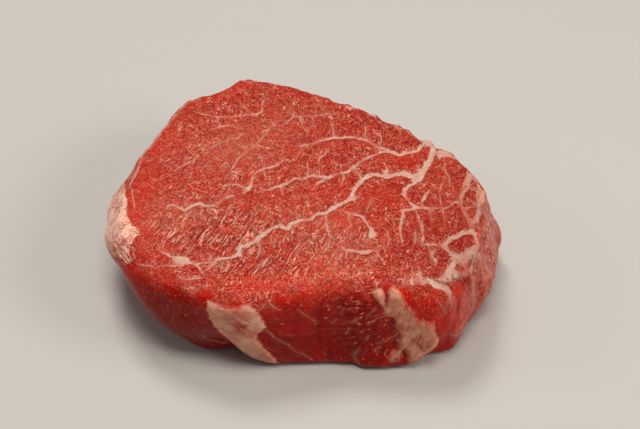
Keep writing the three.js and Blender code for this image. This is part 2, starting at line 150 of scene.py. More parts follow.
    [(38.9, -23.8, 0.42), (39.9, -26, 0.46), (40.7, -27.5, 0.53), (40.9, -29.4, 0.53), (40.5, -31.2, 0.53)],
    [(37.8, -24.5, 0.28), (36.3, -25.7, 0.32), (35.2, -27.1, 0.28), (35.4, -28.4, 0.35), (36.1, -30.1, 0.35)],
    [(34.2, -24.5, 0.18), (34.8, -26.4, 0.25), (34.8, -28.6, 0.14)],
    [(29.4, -32.6, 0.18), (29.4, -35.5, 0.39), (29.2, -38.1, 0.53), (29, -40.2, 0.42)],
    [(31.3, -32.3, 0.14), (31.3, -34.5, 0.32), (30.9, -37, 0.25), (30, -38.8, 0.18)],
    [(31.9, -38.1, 0.18), (33, -37.7, 0.32), (33.9, -37.2, 0.25)],
    [(33, -0.1, 0.11), (34.4, -0.5, 0.14)],
    [(33, -7.7, 0.25), (33.9, -5.9, 0.53), (34.4, -4.7, 0.39), (35.4, -3.3, 0.14)],
    [(40.6, 8, 0.18), (40.4, 5.5, 0.25), (41, 3.9, 0.25), (41.6, 1.9, 0.25), (41.3, -1.3, 0.14)],
    [(36.4, -0.5, 0.18), (37.5, -2.1, 0.21), (38.6, -3.3, 0.18)],
    [(38.5, -5.3, 0.14), (38.6, -8.5, 0.21)],
    [(40.6, 2.7, 0.14), (39, -1.3, 0.21), (38.6, -3.7, 0.18)],
    [(35.4, -10, 0.18), (35.4, -12.8, 0.21), (35.7, -15.1, 0.11)],
    [(39.1, -9.6, 0.18), (39.1, -12, 0.25), (39.4, -14.3, 0.11)],
    [(22.9, -19.3, 0.14), (23.4, -22.3, 0.25), (23.1, -24.5, 0.14)],
    [(18.7, -6.9, 0.14), (18.1, -9.3, 0.25), (17.2, -11.6, 0.11)],
    [(47.1, 3.5, 0.32), (46.4, 1.5, 0.42), (45.3, -1.3, 0.39), (44.6, -4.1, 0.35), (44.3, -6.5, 0.39)],
    [(48.4, 2.3, 0.21), (49.5, 1.1, 0.35), (50.6, -0.5, 0.46), (51, -2.9, 0.6), (50.5, -5.3, 0.64), (49.9, -7.3, 0.53)],
    [(47.8, -7.9, 0.25), (48.9, -7.8, 0.35), (49.9, -7.9, 0.46), (49.8, -10, 0.5), (49.5, -12.4, 0.42)],
    [(45.5, -10.6, 0.28), (45.8, -12.4, 0.35), (46.3, -14.3, 0.42), (47.3, -15.6, 0.46)],
    [(49, -10.2, 0.28), (48.7, -12.4, 0.35), (48.3, -14.7, 0.42), (47.4, -16.2, 0.46)],
    [(46.7, -16.2, 0.46), (46.8, -18.5, 0.46), (48.1, -20.6, 0.46), (48.3, -22.7, 0.5)],
    [(48.7, -15.8, 0.28), (48.8, -18.5, 0.35), (48.5, -21.2, 0.39)],
    [(29.4, -37.3, 0.28), (29.2, -39.1, 0.53), (29, -40.7, 0.42)],
    [(30.6, -34.8, 0.18), (30.6, -37, 0.32), (30.2, -39.1, 0.25), (30.3, -40.9, 0.21)],
    [(31.8, -34.1, 0.18), (31.8, -36.6, 0.28), (31.5, -38.8, 0.18)],
    [(32.7, -38.1, 0.21), (33.8, -37.5, 0.28), (35, -36.8, 0.18)],
    [(27.7, -35.2, 0.14), (27, -37.3, 0.25), (26.9, -38.8, 0.14)],
]
# Fat islands of the upper cut face: closed outlines, [x, y] in mm
ISLANDS = [
    [(49.7, -0.1), (50.8, -0.9), (51.2, -3.3), (50.7, -6.5), (49.9, -8.1), (49.6, -6.5), (50.1, -3.3)],
    [(-36.7, -28.6), (-35.1, -27.7), (-32.9, -28.2), (-31.7, -29.4), (-32.2, -31.2), (-34.3, -32.3), (-35.8, -31.2)],
    [(31.4, 3.5), (33.2, 5.1), (34.5, 7.6), (36, 9.2), (36.8, 8), (35.5, 4.7), (34, 2.3), (33.3, 0.7), (31.6, 0.3), (30.5, 1.9)],
    [(35.2, 16.3), (36.1, 17.2), (37.3, 17), (38.1, 15.9), (38, 14.2), (36.8, 13.8), (35.7, 14.6)],
    [(22.4, 2.7), (23.4, 5.9), (24.1, 2.7)],
    [(17.6, -19.6), (18.7, -18.1), (19.8, -20), (19.2, -21.5), (18.1, -21.5)],
]
# Lines on the wall: [degrees, mm below the upper edge along the surface, half width mm]
WALL_LINES = [
    [(211.8, 6.2, 0.1), (214.5, 5.1, 0.26), (215.5, 4, 0.13), (217.3, 3.9, 0.19), (218.7, 1.9, 0.13), (220, 0.9, 0.19), (221.8, 0, 0.32)],
    [(226, 2.5, 0.19), (228, 2.5, 0.29), (230, 0.8, 0.26), (231.8, 0, 0.16)],
    [(231, 4, 0.22), (232, 3.1, 0.35), (233.8, 3, 0.16)],
    [(235.5, 21.6, 0.22), (235.8, 25.5, 0.29), (237, 28.2, 0.35), (239, 30.9, 0.38), (245, 26.6, 0.35)],
    [(257, 15.5, 0.26), (258.8, 17.4, 0.26), (259.7, 19, 0.26), (262.5, 21.4, 0.21), (265, 23.8, 0.24), (267.2, 26.9, 0.26), (269.8, 28.7, 0.29), (274, 31.9, 0.22)],
    [(290.5, 27.1, 0.22), (289.2, 29.6, 0.32), (289.5, 31.5, 0.26), (291, 33.5, 0.19)],
    [(293.8, 4.3, 0.22), (294, 6.4, 0.16)],
    [(269, 9.8, 0.13), (272, 12.8, 0.16), (276, 16.3, 0.1)],
    [(258.5, 5.2, 0.13), (260.8, 7.4, 0.13)],
    [(317, 5.5, 0.29), (316.2, 7.4, 0.35), (315.5, 9.3, 0.26)],
    [(313.5, 10.2, 0.16), (314.5, 11.7, 0.29), (315, 14.1, 0.16)],
    [(321, 17.2, 0.26), (321.2, 20.1, 0.32)],
    [(318, 25, 0.26), (319, 25.7, 0.48), (320.2, 27.2, 0.32)],
    [(322.5, 27.9, 0.29), (326.5, 30.6, 0.38)],
    [(329.8, 5.4, 0.19), (326.5, 6.7, 0.26), (326, 10.3, 0.22), (327.2, 13.1, 0.13)],
    [(331.5, 6.4, 0.16), (329.8, 10.1, 0.13)],
    [(338.2, 11, 0.16), (337.8, 12.8, 0.32), (338.5, 16.1, 0.16)],
    [(334.5, 4.4, 0.22), (333.2, 6.5, 0.32), (333, 9.3, 0.19)],
    [(325.8, 6.9, 0.19), (325.8, 9.1, 0.35), (327, 13.1, 0.22)],
    [(338.2, 13.6, 0.19), (338.5, 15.2, 0.35), (339, 16.9, 0.19)],
    [(337.5, 7.9, 0.16), (337.2, 9.6, 0.26), (336.2, 10.6, 0.16)],
    [(255.8, 6.6, 0.38), (256.8, 5.8, 0.42), (257.5, 5.1, 0.19)],
    [(296.8, 13.8, 0.13), (298.5, 13.1, 0.22)],
    [(294.5, 15.8, 0.19), (295.7, 15.1, 0.22)],
    [(299.8, 23, 0.13), (302, 22.2, 0.21), (303, 19.9, 0.13)],
    [(297, 23.9, 0.13), (298.5, 23.1, 0.21), (299.5, 23.1, 0.13)],
    [(295.7, 26.3, 0.13), (297, 25.5, 0.19)],
    [(295.5, 11.8, 0.13), (296.5, 10.5, 0.22)],
    [(293.2, 22.4, 0.13), (293.8, 20.9, 0.19)],
    [(289.2, 15.8, 0.13), (290.5, 14.5, 0.22)],
    [(286.8, 20.8, 0.13), (287.8, 18.5, 0.19)],
    [(285.2, 13.8, 0.13), (286, 11.9, 0.19)],
    [(282, 16.9, 0.13), (283.2, 15.7, 0.19)],
    [(313.2, 9.3, 0.19), (314.5, 11.7, 0.38), (315, 13.6, 0.32), (314.2, 15.1, 0.16)],
    [(298.8, 4.3, 0.19), (299.5, 5, 0.42), (299.8, 7.2, 0.35)],
    [(328.7, -5.3, 0.4), (330.7, -4.4, 0.64), (333.2, -4.4, 0.72), (334.8, -2.8, 0.56), (336.8, -1.9, 0.56), (338.5, -0.3, 0.64), (339.2, 0.4, 0.64)],
    [(339.2, 0.4, 0.56), (338.5, 1.3, 0.56), (337.2, 2.3, 0.56), (335.5, 3.6, 0.64), (333, 4.2, 0.72), (331, 5.2, 0.64), (328.5, 5.6, 0.56), (326.5, 6, 0.4)],
    [(328.7, -4.4, 0.32), (328, -2.8, 0.56), (327, -0.3, 0.72), (327.2, 1.5, 0.96), (329.2, 2.1, 0.96), (331.2, 2.6, 1.04), (333.8, 2.9, 0.8)],
    [(326.5, -0.3, 0.64), (324.8, 0.8, 0.64), (322.5, 0.8, 0.8), (321.2, 1.7, 0.8)],
    [(5.7, 0.8, 0.51), (2.5, -1.1, 0.45), (359, -2.7, 0.48), (355.8, -4.4, 0.45), (353.5, -4.4, 0.45), (351.5, -4.4, 0.42)],
    [(1.5, -1.1, 0.16), (359, -1.1, 0.26), (357.2, 0, 0.32), (353.5, 0, 0.22)],
    [(352, -1.1, 0.32), (351.2, -0.2, 0.48), (351.5, 1.1, 0.64), (350.2, 1.6, 0.64), (347.5, 2, 0.54), (344.2, 1.9, 0.42), (342, 2.5, 0.26)],
    [(353, 2.2, 0.32), (351, 2.7, 0.29), (349, 4.3, 0.19)],
    [(314.2, 0.9, 0.48), (314.2, 2.8, 0.8), (315.5, 3.7, 0.96), (316.2, 4.6, 1.04), (316.5, 6.5, 0.8), (316.2, 8.3, 0.4), (315.5, 10.2, 0.24)],
    [(326.7, 6.7, 0.19), (326.2, 8.3, 0.32), (326.5, 11.4, 0.16)],
    [(326, 2.3, 0.16), (326, 3.8, 0.32), (325.8, 5.3, 0.16)],
    [(180, 1.9, 0.34), (176, 1.4, 0.42), (171, 0.9, 0.36), (166, 1.1, 0.42), (161, 0.7, 0.36), (156, 0.8, 0.38), (151, 0.8, 0.32), (146, 0.5, 0.36), (141, 0.6, 0.3), (136, 0.3, 0.3), (131, 0.3, 0.22)],
    [(176, 3.6, 0.3), (171, 3, 0.35), (165, 2.9, 0.25), (158, 2.6, 0.3), (150, 2.2, 0.25), (143, 2, 0.2)],
    [(69, 0.2, 0.25), (67, 0, 0.5), (65, 0.3, 0.25)],
    [(56, 0.5, 0.3), (54, 0.8, 0.7), (52, 0.6, 0.3)],
    [(43.5, 0.6, 0.3), (41.8, 0.8, 0.6), (40, 0.6, 0.25)],
    [(36, 0.6, 0.2), (33, 0.7, 0.35), (30, 0.7, 0.3), (27.5, 0.8, 0.6)],
    [(24, 0.4, 0.9), (23, 4, 0.8), (24.5, 8, 0.55), (23, 13, 0.6), (26, 18, 0.4), (25, 24, 0.5), (27.5, 30, 0.3)],
    [(66, 0, 0.5), (64, 4, 0.4), (66.5, 9, 0.3), (63.5, 15, 0.35), (60, 20, 0.2)],
    [(66.5, 9, 0.3), (70, 13, 0.25), (72, 19, 0.15)],
    [(112, 0.5, 0.35), (115, 5, 0.3), (112.5, 11, 0.4), (117, 18, 0.3), (116, 25, 0.2)],
    [(143, 2, 0.3), (147, 8, 0.35), (144, 14, 0.25), (148, 21, 0.3)],
    [(147, 8, 0.35), (153, 12, 0.25), (158, 14, 0.2)],
    [(6, 3, 0.4), (8, 9, 0.35), (4, 15, 0.45), (7, 22, 0.3), (5, 28, 0.2)],
    [(4, 15, 0.45), (358, 19, 0.3), (354, 25, 0.2)],
    [(88, 6, 0.2), (90, 12, 0.3), (86, 18, 0.2), (88, 25, 0.15)],
    [(44, 6, 0.25), (46, 13, 0.3), (42, 20, 0.3), (44, 27, 0.15)],
]
# Creases, cut into the relief and darkened with painted shade: [degrees, mm below the upper edge, half width mm]
CREASES_AND_SHADE = [
    [(335.2, 4.2, 0.19), (332.2, 4.9, 0.32), (329.2, 6.2, 0.35), (326.7, 7.4, 0.22)],
    [(352.2, 1.6, 0.26), (349.5, 2.2, 0.54), (346.2, 3, 0.32)],
    [(279.5, 7.4, 0.16), (277.5, 9.6, 0.32), (276.5, 13.3, 0.42), (276, 18.3, 0.48), (276.5, 23.8, 0.42), (277.2, 27.7, 0.26)],
    [(300.8, 4.3, 0.19), (301, 5.8, 0.58), (300.2, 7.9, 0.48), (299.5, 9.3, 0.16)],
    [(304, 27.1, 0.16), (304.7, 29.1, 0.32), (304.2, 32.7, 0.29)],
    [(306.5, 23.3, 0.13), (307.5, 23.3, 0.26), (308.2, 24.9, 0.26), (309.5, 27.4, 0.16)],
    [(312.2, 16.5, 0.16), (312.2, 19.6, 0.16), (313.8, 24.3, 0.22), (315, 29.7, 0.19), (314, 32.5, 0.16)],
    [(322.5, 5, 0.22), (323.5, 7.3, 0.58), (324, 9.6, 0.58), (324.8, 12.3, 0.22)],
    [(225.5, 6.8, 0.32), (228, 6.6, 0.8), (230.3, 6.4, 0.64), (232.2, 7, 0.32)],
    [(348.2, 4.4, 0.19), (346.8, 6.4, 0.32), (345.8, 8.3, 0.19)],
    [(319.5, 9.8, 0.19), (319.2, 12.7, 0.38), (319.2, 16.8, 0.29)],
]
# Fat on the wall: closed outlines, [degrees, mm below the upper edge]
WALL_FAT = [
    [(238.8, 4.9), (240.5, 4.8), (243, 5.4), (246.5, 5.5), (248.2, 5.6), (250.2, 5), (251.7, 5), (254, 6.5), (255, 8), (255.8, 10.5), (257.2, 14.3), (255.8, 16), (254.2, 17.1), (253.8, 18.6), (255, 21.1), (256, 23.5), (257, 25.9), (259, 28.9), (260.8, 33), (255.8, 32.7), (250.7, 32.5), (247.5, 29.9), (246, 25.2), (243.8, 20.1), (241.7, 17.4), (240, 13.4), (239.3, 10.1), (238.8, 7.6)],
    [(302.5, 3.7), (303.5, 3.1), (304.2, 3.9), (304.7, 4.7), (305, 5.5), (304.7, 7.1), (305.5, 8.8), (306.5, 9.9), (307, 11.7), (307.2, 13.4), (308.2, 14.6), (309.2, 15.3), (310.5, 15.4), (311.5, 16), (311.5, 17.5), (312, 20.4), (313, 23.5), (313.8, 27.4), (313.5, 30.1), (312, 30.1), (311, 30.6), (310.5, 32.6), (308.8, 32.6), (306.2, 32.9), (305.5, 31), (305, 28.7), (304.5, 26.3), (303.8, 27.8), (303.2, 29.7), (302.5, 31.5), (300, 31.4), (299.8, 29.4), (300.8, 28.5), (302.8, 26.2), (303, 23.8), (303.5, 21.5), (303.2, 18.4), (302.8, 16.3), (302.5, 13.8), (300.8, 13.7), (299.2, 11.2), (299, 9.9), (300.2, 9.9), (300.5, 7.9), (301, 5.8)],
    [(296.5, 5), (298.2, 4.3), (299, 4.3), (299.8, 5), (299.8, 7.2), (299.8, 8.6), (300.5, 10.5), (299.2, 10.6), (298.5, 8.6), (297.2, 7.2), (296.5, 6.4)],
    [(19.2, -1.6), (18.8, -0.2), (17.8, 0.3), (16.5, 1), (13.5, 1.3), (13.3, 0.3), (14.2, -0.2), (14.5, -1.7), (15, -3.2), (17.2, -3.1)],
    [(6.5, 0.5), (6, 1.6), (3.7, 1.6), (1.8, 1.8), (2, 1.3), (3.3, 0.5), (3.3, -0.2), (2, -1.1), (1.8, -1.9), (4, -1)],
    [(359.2, -0.2), (359.2, 1), (358.8, 2), (356.5, 2.4), (353.7, 2.7), (352.2, 1.6), (352.8, 0.5), (355.5, 0.5), (357.2, 0)],
    [(320.2, 0.9), (322.7, 0.8), (323, 2.5), (323.5, 4.1), (325.2, 4.6), (326, 6.1), (323.8, 5.6), (321.5, 5.1), (319.5, 4.4), (317, 4.6), (316.2, 3.7), (315.8, 1.9), (317.2, 1.8)],
    [(327, 0.7), (328.5, 1.4), (330, 2.7), (331.8, 3.2), (331, 3.9), (328.5, 4.2), (326.5, 3.7), (325.2, 2.3), (325.2, 1.5)],
    [(21, 1), (24, -0.5), (28, 0.5), (29, 4), (27, 7), (28.5, 11), (26, 14), (24, 12), (22.5, 8), (20.5, 5)],
    [(72, 11), (75, 9.5), (77, 12), (80, 13.5), (82, 16.5), (86, 17), (90, 20), (95, 21.5), (99, 25), (97, 28), (91, 27), (87, 29), (81, 31.5), (76, 32), (77, 27), (74, 23), (75, 18), (72.5, 15)],
    [(118, 31), (120, 27), (124, 25.5), (127, 22), (132, 21), (136, 17.5), (141, 16), (140, 19), (136, 22), (134, 26), (129, 27.5), (125, 31), (121, 32.5)],
]
CAP = [(172.5, 6.5), (170.5, 9.5), (172.5, 13), (177, 15.6), (183, 16.6), (189, 16.4), (194, 15.3), (197.6, 13.6), (200.5, 12.4), (203.8, 10.7), (208, 9.1), (209.2, 7.2), (208, 6), (208, 5), (206, 4.7), (205.8, 2.8), (204.2, 2.7), (203.5, 0.9), (202.2, -0.2), (200.2, -1.1), (198, 0), (195.3, 0), (191.8, 0.4), (187.5, 0.9), (183, 2.5), (178, 5), (175, 6)]


def srgb(r, g, b):
    f = lambda c: ((c / 255 + 0.055) / 1.055) ** 2.4 if c > 10.3 else c / 255 / 12.92
    return (f(r), f(g), f(b), 1.0)


# darker and lighter places, partly painted shade: x, y, half widths, strength
TONES_AND_PAINTED_SHADE = [(18, -38.5, 7, 3.5, -1.0), (4, -29, 13, 4.5, -0.45), (-28, 20, 16, 10, -0.1), (35, -17, 10, 14, -0.6), (31, -29, 9, 8, -0.6), (42, 0, 8, 11, -0.7), (47, -10, 6, 14, -1.1), (40, -29, 8, 7, -1.1), (20, 26, 12, 6, -0.3), (0, 30, 18, 9, -0.5), (28, -2, 12, 8, -0.3), (10, 14, 9, 5, -0.3), (12, 5, 9, 4, -0.4)]
# painted sheen: paler patches of the cut face, x, y, half widths, strength
PAINTED_SHEEN_PATCHES = [(-20, 14, 16, 9, 0.6), (8, -26, 9, 9, 0.5), (-36, -12, 10, 8, 0.5), (0, -12, 14, 7, 0.3), (-6, 26, 14, 6, 0.3)]
# the same on the wall, partly painted light and shade (upper wall and right slope lighter, lower front wall darker):
# degrees, mm below the edge, half widths, strength
WALL_TONES_AND_PAINTED_LIGHT = [(85, 2, 30, 4, 0.5), (140, 2, 25, 4, 0.5), (112, 18, 10, 10, -0.5), (70, 8, 8, 8, 0.4), (160, 20, 10, 10, -0.4), (40, 12, 8, 8, 0.3), (18, -38.5, 7, 3.5, -1.0), (4, -29, 13, 4.5, -0.45), (275, 1, 45, 6, 0.6), (290, 20, 12, 12, -0.4), (228, 22, 14, 14, -0.9), (262, 24, 12, 12, -0.3), (290, 20, 10, 14, -0.3), (313, 8, 9, 8, 1.5), (330, 22, 10, 10, 0.4), (320, 25, 5, 8, 0.3)]
# painted light: a brighter band of the rim, and a patch on the left shoulder
PAINTED_LIGHT_BANDS = [(21.5, -1.5, 2.2, 2.5, 0.5), (201, 9, 8, 5, 0.35), (262, -1, 26, 4.5, 0.55), (282, 1.5, 20, 4, 0.35), (296, -3, 8, 3, 0.2)]
# painted shade, a deeper colour: on the cut face (x, y, half widths, strength) and on the wall (degrees, mm below the
# edge)
PAINTED_SHADE_TOP = [(42, -28, 8, 8, 0.65), (48, -8, 6, 15, 0.6), (35, -18, 10, 9, 0.35), (0, 32, 20, 7, 0.2), (30, 20, 8, 6, 0.2)]
PAINTED_SHADE_WALL = [(268, 24, 50, 11, 0.35), (226, 24, 14, 12, 0.3), (20, 20, 60, 16, 0.2), (120, 20, 60, 16, 0.2)]
# thin membrane over the muscle
WALL_PINK = [(100, 9, 16, 8, 0.55), (150, 15, 12, 9, 0.5), (58, 14, 9, 9, 0.45), (124, 5, 8, 4, 0.3), (15, 10, 9, 10, 0.45), (353, 11, 10, 10, 0.9), (338, 15, 13, 14, 0.6), (328, 12, 6, 12, 0.35), (320.5, 25, 2.2, 1.6, 0.8), (316.5, 9, 1.4, 5, 0.5)]
# places with many pale torn fibres and painted glints
WET = [(-22, -20, 11, 9, 0.7), (-38, -18, 9, 7, 0.75), (-28, -10, 9, 5, 0.4), (-14, -33, 15, 5, 0.55), (6, -33, 14, 4.5, 0.4), (0, -22, 12, 8, 0.5), (-12, 3, 16, 8, 0.4), (-33, 13, 12, 10, 0.3), (14, -20, 10, 8, 0.4)]
# smooth places on the cut face: x, y, half widths, strength
SMOOTH = [(12, -15, 5.5, 4.5, 0.9), (20, -5, 7, 4, 0.8), (9.6, -3, 5, 2, 0.6), (36, -20, 4, 4, 0.4), (31.5, 9.6, 6, 2.5, 0.8), (41, -5, 8, 14, 0.5), (30, -14, 6, 8, 0.25), (-49, -6, 5, 8, 0.5), (10, -40, 26, 2.5, 0.6), (-30, 2, 5, 4, 0.3), (-8, 30, 12, 2, 0.3)]
# rim without torn fibres: degrees, mm below the edge, half widths, strength
CALM = [(185, -2, 22, 5, 0.9), (165, -1, 14, 3, 0.8), (140, -1, 14, 2.5, 0.8), (118, 0, 12, 3.0, 0.8), (90, 0, 20, 1.5, 0.6), (215, 5, 14, 5, 0.9)]
# rough wall with pale bits
RUGGED = [(293, 16, 12, 18, 1.0), (265, 6, 20, 8, 0.7), (312, 10, 8, 10, 0.8), (330, 20, 12, 14, 0.6), (230, 10, 12, 14, 0.4), (222, 3, 14, 6, 0.6), (200, 15, 10, 8, 0.4)]
# thin, red-mottled fat: on the wall, and on the cut face (x, y, half widths)
THIN = [(79, 22, 8, 7, 0.6), (132, 24, 9, 6, 0.75), (24, 10, 3, 6, 0.3), (320, 4, 5, 3, 0.9), (306, 12, 6, 12, 0.55), (301, 30, 5, 6, 0.6), (307, 30, 3, 4, 0.4), (250, 12.5, 3.2, 2.6, 0.9), (246, 5, 8, 2.5, 0.3), (249, 8.5, 5, 5, 0.35), (305, 14, 4, 8, 0.15), (308, 22, 4, 5, 0.35)]
THIN_TOP = [(44, -30, 9, 8, 0.3), (48, -6, 4, 10, 0.3)]
# swellings of the wall: degrees, mm below the edge, half widths, mm outward
LUMPS = [(80, 20, 5, 6, 0.45), (130, 24, 4, 4, 0.4), (24, 5, 2, 5, 0.3), (26, 20, 1.6, 9, -0.35), (66, 14, 2, 8, -0.3), (115, 12, 2.5, 9, -0.35), (146, 12, 2.5, 9, -0.35), (92, 10, 7, 8, 0.35), (6, 14, 2, 10, -0.4), (50, 12, 6, 8, 0.35), (319.5, 25.5, 2.2, 2.6, 0.8), (316.5, 15, 1.6, 9, 0.5), (313.8, 13, 1.6, 6, -0.35), (325, 12, 2, 10, 0.5), (311.5, 24, 2.4, 4.5, 0.9), (307, 30, 2.0, 3.0, 0.5), (301.5, 10, 2.5, 8, 0.3), (298, 6, 1.2, 3, 0.4), (248, 6, 5, 3, 0.3), (257, 12, 2, 5, -0.3), (54, 1, 2, 2, 0.5), (42, 1, 2, 2, 0.5), (36, 1, 2, 2, 0.3), (25.5, 1, 2.2, 2.5, 0.9), (21, 0.5, 1.5, 2, -0.3), (16.7, 0.5, 2, 2, 0.6), (67, 1, 2.5, 2, 0.3)]
CREASE_SHADE = srgb(110, 10, 6)
CUT_SHADE_RED = srgb(114, 12, 7)
LEAN_DARK, LEAN_LIGHT = srgb(156, 22, 12), srgb(194, 38, 21)
LEAN_BRIGHT, LEAN_DEEP = srgb(212, 90, 68), srgb(104, 10, 5)
LEAN_SALT = srgb(226, 116, 92)
LEAN_DULL = srgb(158, 42, 28)
NET, STROKE_AND_GLINT = srgb(206, 122, 98), srgb(236, 178, 152)
WALL_DARK, WALL_LIGHT = srgb(140, 4, 2), srgb(210, 24, 11)
MEMBRANE_RED, MEMBRANE_PALE = srgb(190, 48, 30), srgb(250, 174, 150)
FLECK = srgb(236, 150, 124)
FAT_PALE, FAT_PINK, FAT_RED, FAT_THIN = srgb(200, 174, 160), srgb(198, 154, 138), srgb(180, 80, 62), srgb(202, 130, 112)
CAP_PALE, CAP_PINK, CAP_RED = srgb(236, 193, 173), srgb(220, 148, 126), srgb(188, 50, 34)
CAP_LIGHT, CAP_LINE = srgb(255, 226, 208), srgb(150, 40, 28)
WALL_FAT_PALE, WALL_FAT_PINK = srgb(228, 172, 144), srgb(204, 126, 99)

# ---------------------------------------------------------------- helpers
def bell(d, w):
    return np.exp(-(d / w) ** 2)


def turn(a, b):
    return (a - b + 180) % 360 - 180


def step(x, a, b):
    t = np.clip((x - a) / (b - a), 0, 1)
    return t * t * (3 - 2 * t)


def lattice(i, j, k, seed):
    h = (i * 374761393 + j * 668265263 + k * 1103515245 + seed * 974634777) & 0xFFFFFFFF
    h = ((h ^ (h >> 13)) * 1274126177) & 0xFFFFFFFF
    h = ((h ^ (h >> 15)) * 2246822519) & 0xFFFFFFFF
    return ((h ^ (h >> 16)) & 0xFFFFFF) / 8388607.5 - 1


def noise(p, size, seed=0):
    """smooth lattice noise, -1 to 1, of points p (n, 3); size in the points' unit, one number or three"""
    q = p / np.asarray(size, float)
    i = np.floor(q).astype(np.int64)
    f = q - i
    f = f * f * f * (f * (f * 6 - 15) + 10)
    out = 0
    for a in (0, 1):
        for b in (0, 1):
            for c in (0, 1):
                w = (f[:, 0] if a else 1 - f[:, 0]) * (f[:, 1] if b else 1 - f[:, 1]) * (f[:, 2] if c else 1 - f[:, 2])
                out = out + w * lattice(i[:, 0] + a, i[:, 1] + b, i[:, 2] + c, seed)
    return out


def fbm(p, size, seed=0, octaves=3, gain=0.5):
    out, amp, size = 0, 1.0, np.asarray(size, float)
    for o in range(octaves):
        out = out + amp * noise(p, size, seed + 17 * o)
        amp, size = amp * gain, size / 2.03
    return out


def station(deg):
    n = len(STATIONS)
    u = (deg / STATION_STEP) % n
    i = np.floor(u).astype(int)
    f = (u - i)[:, None]
    a, b, d, e = (STATIONS[(i + k) % n] for k in (-1, 0, 1, 2))
    s = 0.5 * (2 * b + (d - a) * f + (2 * a - 5 * b + 4 * d - e) * f ** 2 + (3 * b - a - 3 * d + e) * f ** 3)
    for which, centre, width, mm in KNOBS:
        s[:, which] += mm * bell(turn(deg, centre), width)
    return s


def fillet(A, B, C, size, steps, reach=False):
    a, c = A - B, C - B
    a = a / np.linalg.norm(a, axis=-1, keepdims=True)
    c = c / np.linalg.norm(c, axis=-1, keepdims=True)
    w = np.arccos(np.clip((a * c).sum(-1), -0.9999, 0.9999))
    r = size * np.tan(w / 2) if reach else size + 0 * w
    bis = a + c
    O = B + bis / np.linalg.norm(bis, axis=-1, keepdims=True) * (r / np.sin(w / 2))[:, None]
    t = (r / np.tan(w / 2))[:, None]
    v0, v1 = B + a * t - O, B + c * t - O
    start = np.arctan2(v0[:, 1], v0[:, 0])
    sweep = np.arctan2(v0[:, 0] * v1[:, 1] - v0[:, 1] * v1[:, 0], (v0 * v1).sum(-1))
    return [O + r[:, None] * np.stack([np.cos(start + sweep * k / steps), np.sin(start + sweep * k / steps)], -1)
            for k in range(steps + 1)]


def profile(deg):
    """(points, columns, [radius, height]) from the start of the upper edge rounding down to the foot, without pads"""
    s = station(deg)
    o = 0 * deg
    pack = lambda r, z: np.stack([r, o + z], -1)
    A, B = pack(s[:, TOP] - 20, THICKNESS), pack(s[:, TOP], THICKNESS)
    C, D, E = pack(s[:, BELLY], s[:, BELLY_Z]), pack(s[:, FOOT], 0), pack(s[:, FOOT] - 20, 0)
    edge = fillet(A, B, C, s[:, EDGE], 10)
    belly = fillet(B, C, D, BELLY_REACH, 10, True)
    foot = fillet(C, D, E, FOOT_FILLET, 8)
    join = lambda p, q, n: [p + (q - p) * k / n for k in range(1, n)]
    return np.stack(edge + join(edge[-1], belly[0], 8) + belly + join(belly[-1], foot[0], 6) + foot)


def resample(line, rows):
    """line (points, columns, 2) at equal steps of its own length; returns points and the length along it"""
    seg = np.linalg.norm(np.diff(line, axis=0), axis=-1)
    s = np.concatenate([np.zeros((1, line.shape[1])), np.cumsum(seg, 0)])
    out = np.empty((rows + 1, line.shape[1], 2))
    want = np.linspace(0, 1, rows + 1)
    for j in range(line.shape[1]):
        for c in (0, 1):
            out[:, j, c] = np.interp(want * s[-1, j], s[:, j], line[:, j, c])
    return out, want[:, None] * s[-1][None]


def to_line(P, line):
    """for points P (n, 2): distance to a polyline, signed side distance and the share-weighted third value (half width)"""
    L = np.asarray(line, float)
    best = np.full(len(P), 1e9)
    side = np.full(len(P), 1e9)
    width = np.zeros(len(P))
    for a, b in zip(L[:-1], L[1:]):
        d = b[:2] - a[:2]
        n = d @ d
        if n < 1e-12:
            continue
        q = P - a[:2]
        t = np.clip((q @ d) / n, 0, 1)
        r = q - t[:, None] * d
        dist = np.hypot(r[:, 0], r[:, 1])
        perp = (q[:, 1] * d[0] - q[:, 0] * d[1]) / math.sqrt(n)
        m = dist < best
        best[m] = dist[m]
        side[m] = (np.sign(perp) * dist)[m]
        if L.shape[1] > 2:
            width[m] = (a[2] + (b[2] - a[2]) * t)[m]
    return best, side, width


def to_area(P, outline):
    """signed distance to a closed outline, negative inside"""
    L = np.asarray(outline, float)
    M = np.roll(L, -1, 0)
    best = np.full(len(P), 1e9)
    inside = np.zeros(len(P), bool)
    for a, b in zip(L, M):
        d = b - a
        n = d @ d
        if n < 1e-12:
            continue
        q = P - a
        t = np.clip((q @ d) / n, 0, 1)
        r = q - t[:, None] * d
        best = np.minimum(best, np.hypot(r[:, 0], r[:, 1]))
        cross = (a[1] > P[:, 1]) != (b[1] > P[:, 1])
        if abs(d[1]) > 1e-12:
            inside ^= cross & (P[:, 0] < d[0] * (P[:, 1] - a[1]) / d[1] + a[0])
    return np.where(inside, -best, best)


def relief(x, y):
    P = np.stack([x, y], -1)
    z = np.zeros(len(x))
    for depth, width, line in VALLEYS:
        z -= depth * bell(to_line(P, line)[0], width)
    for cx, cy, width, mm in SWELLS:
        z += mm * bell(np.hypot(x - cx, y - cy), width)
    return z


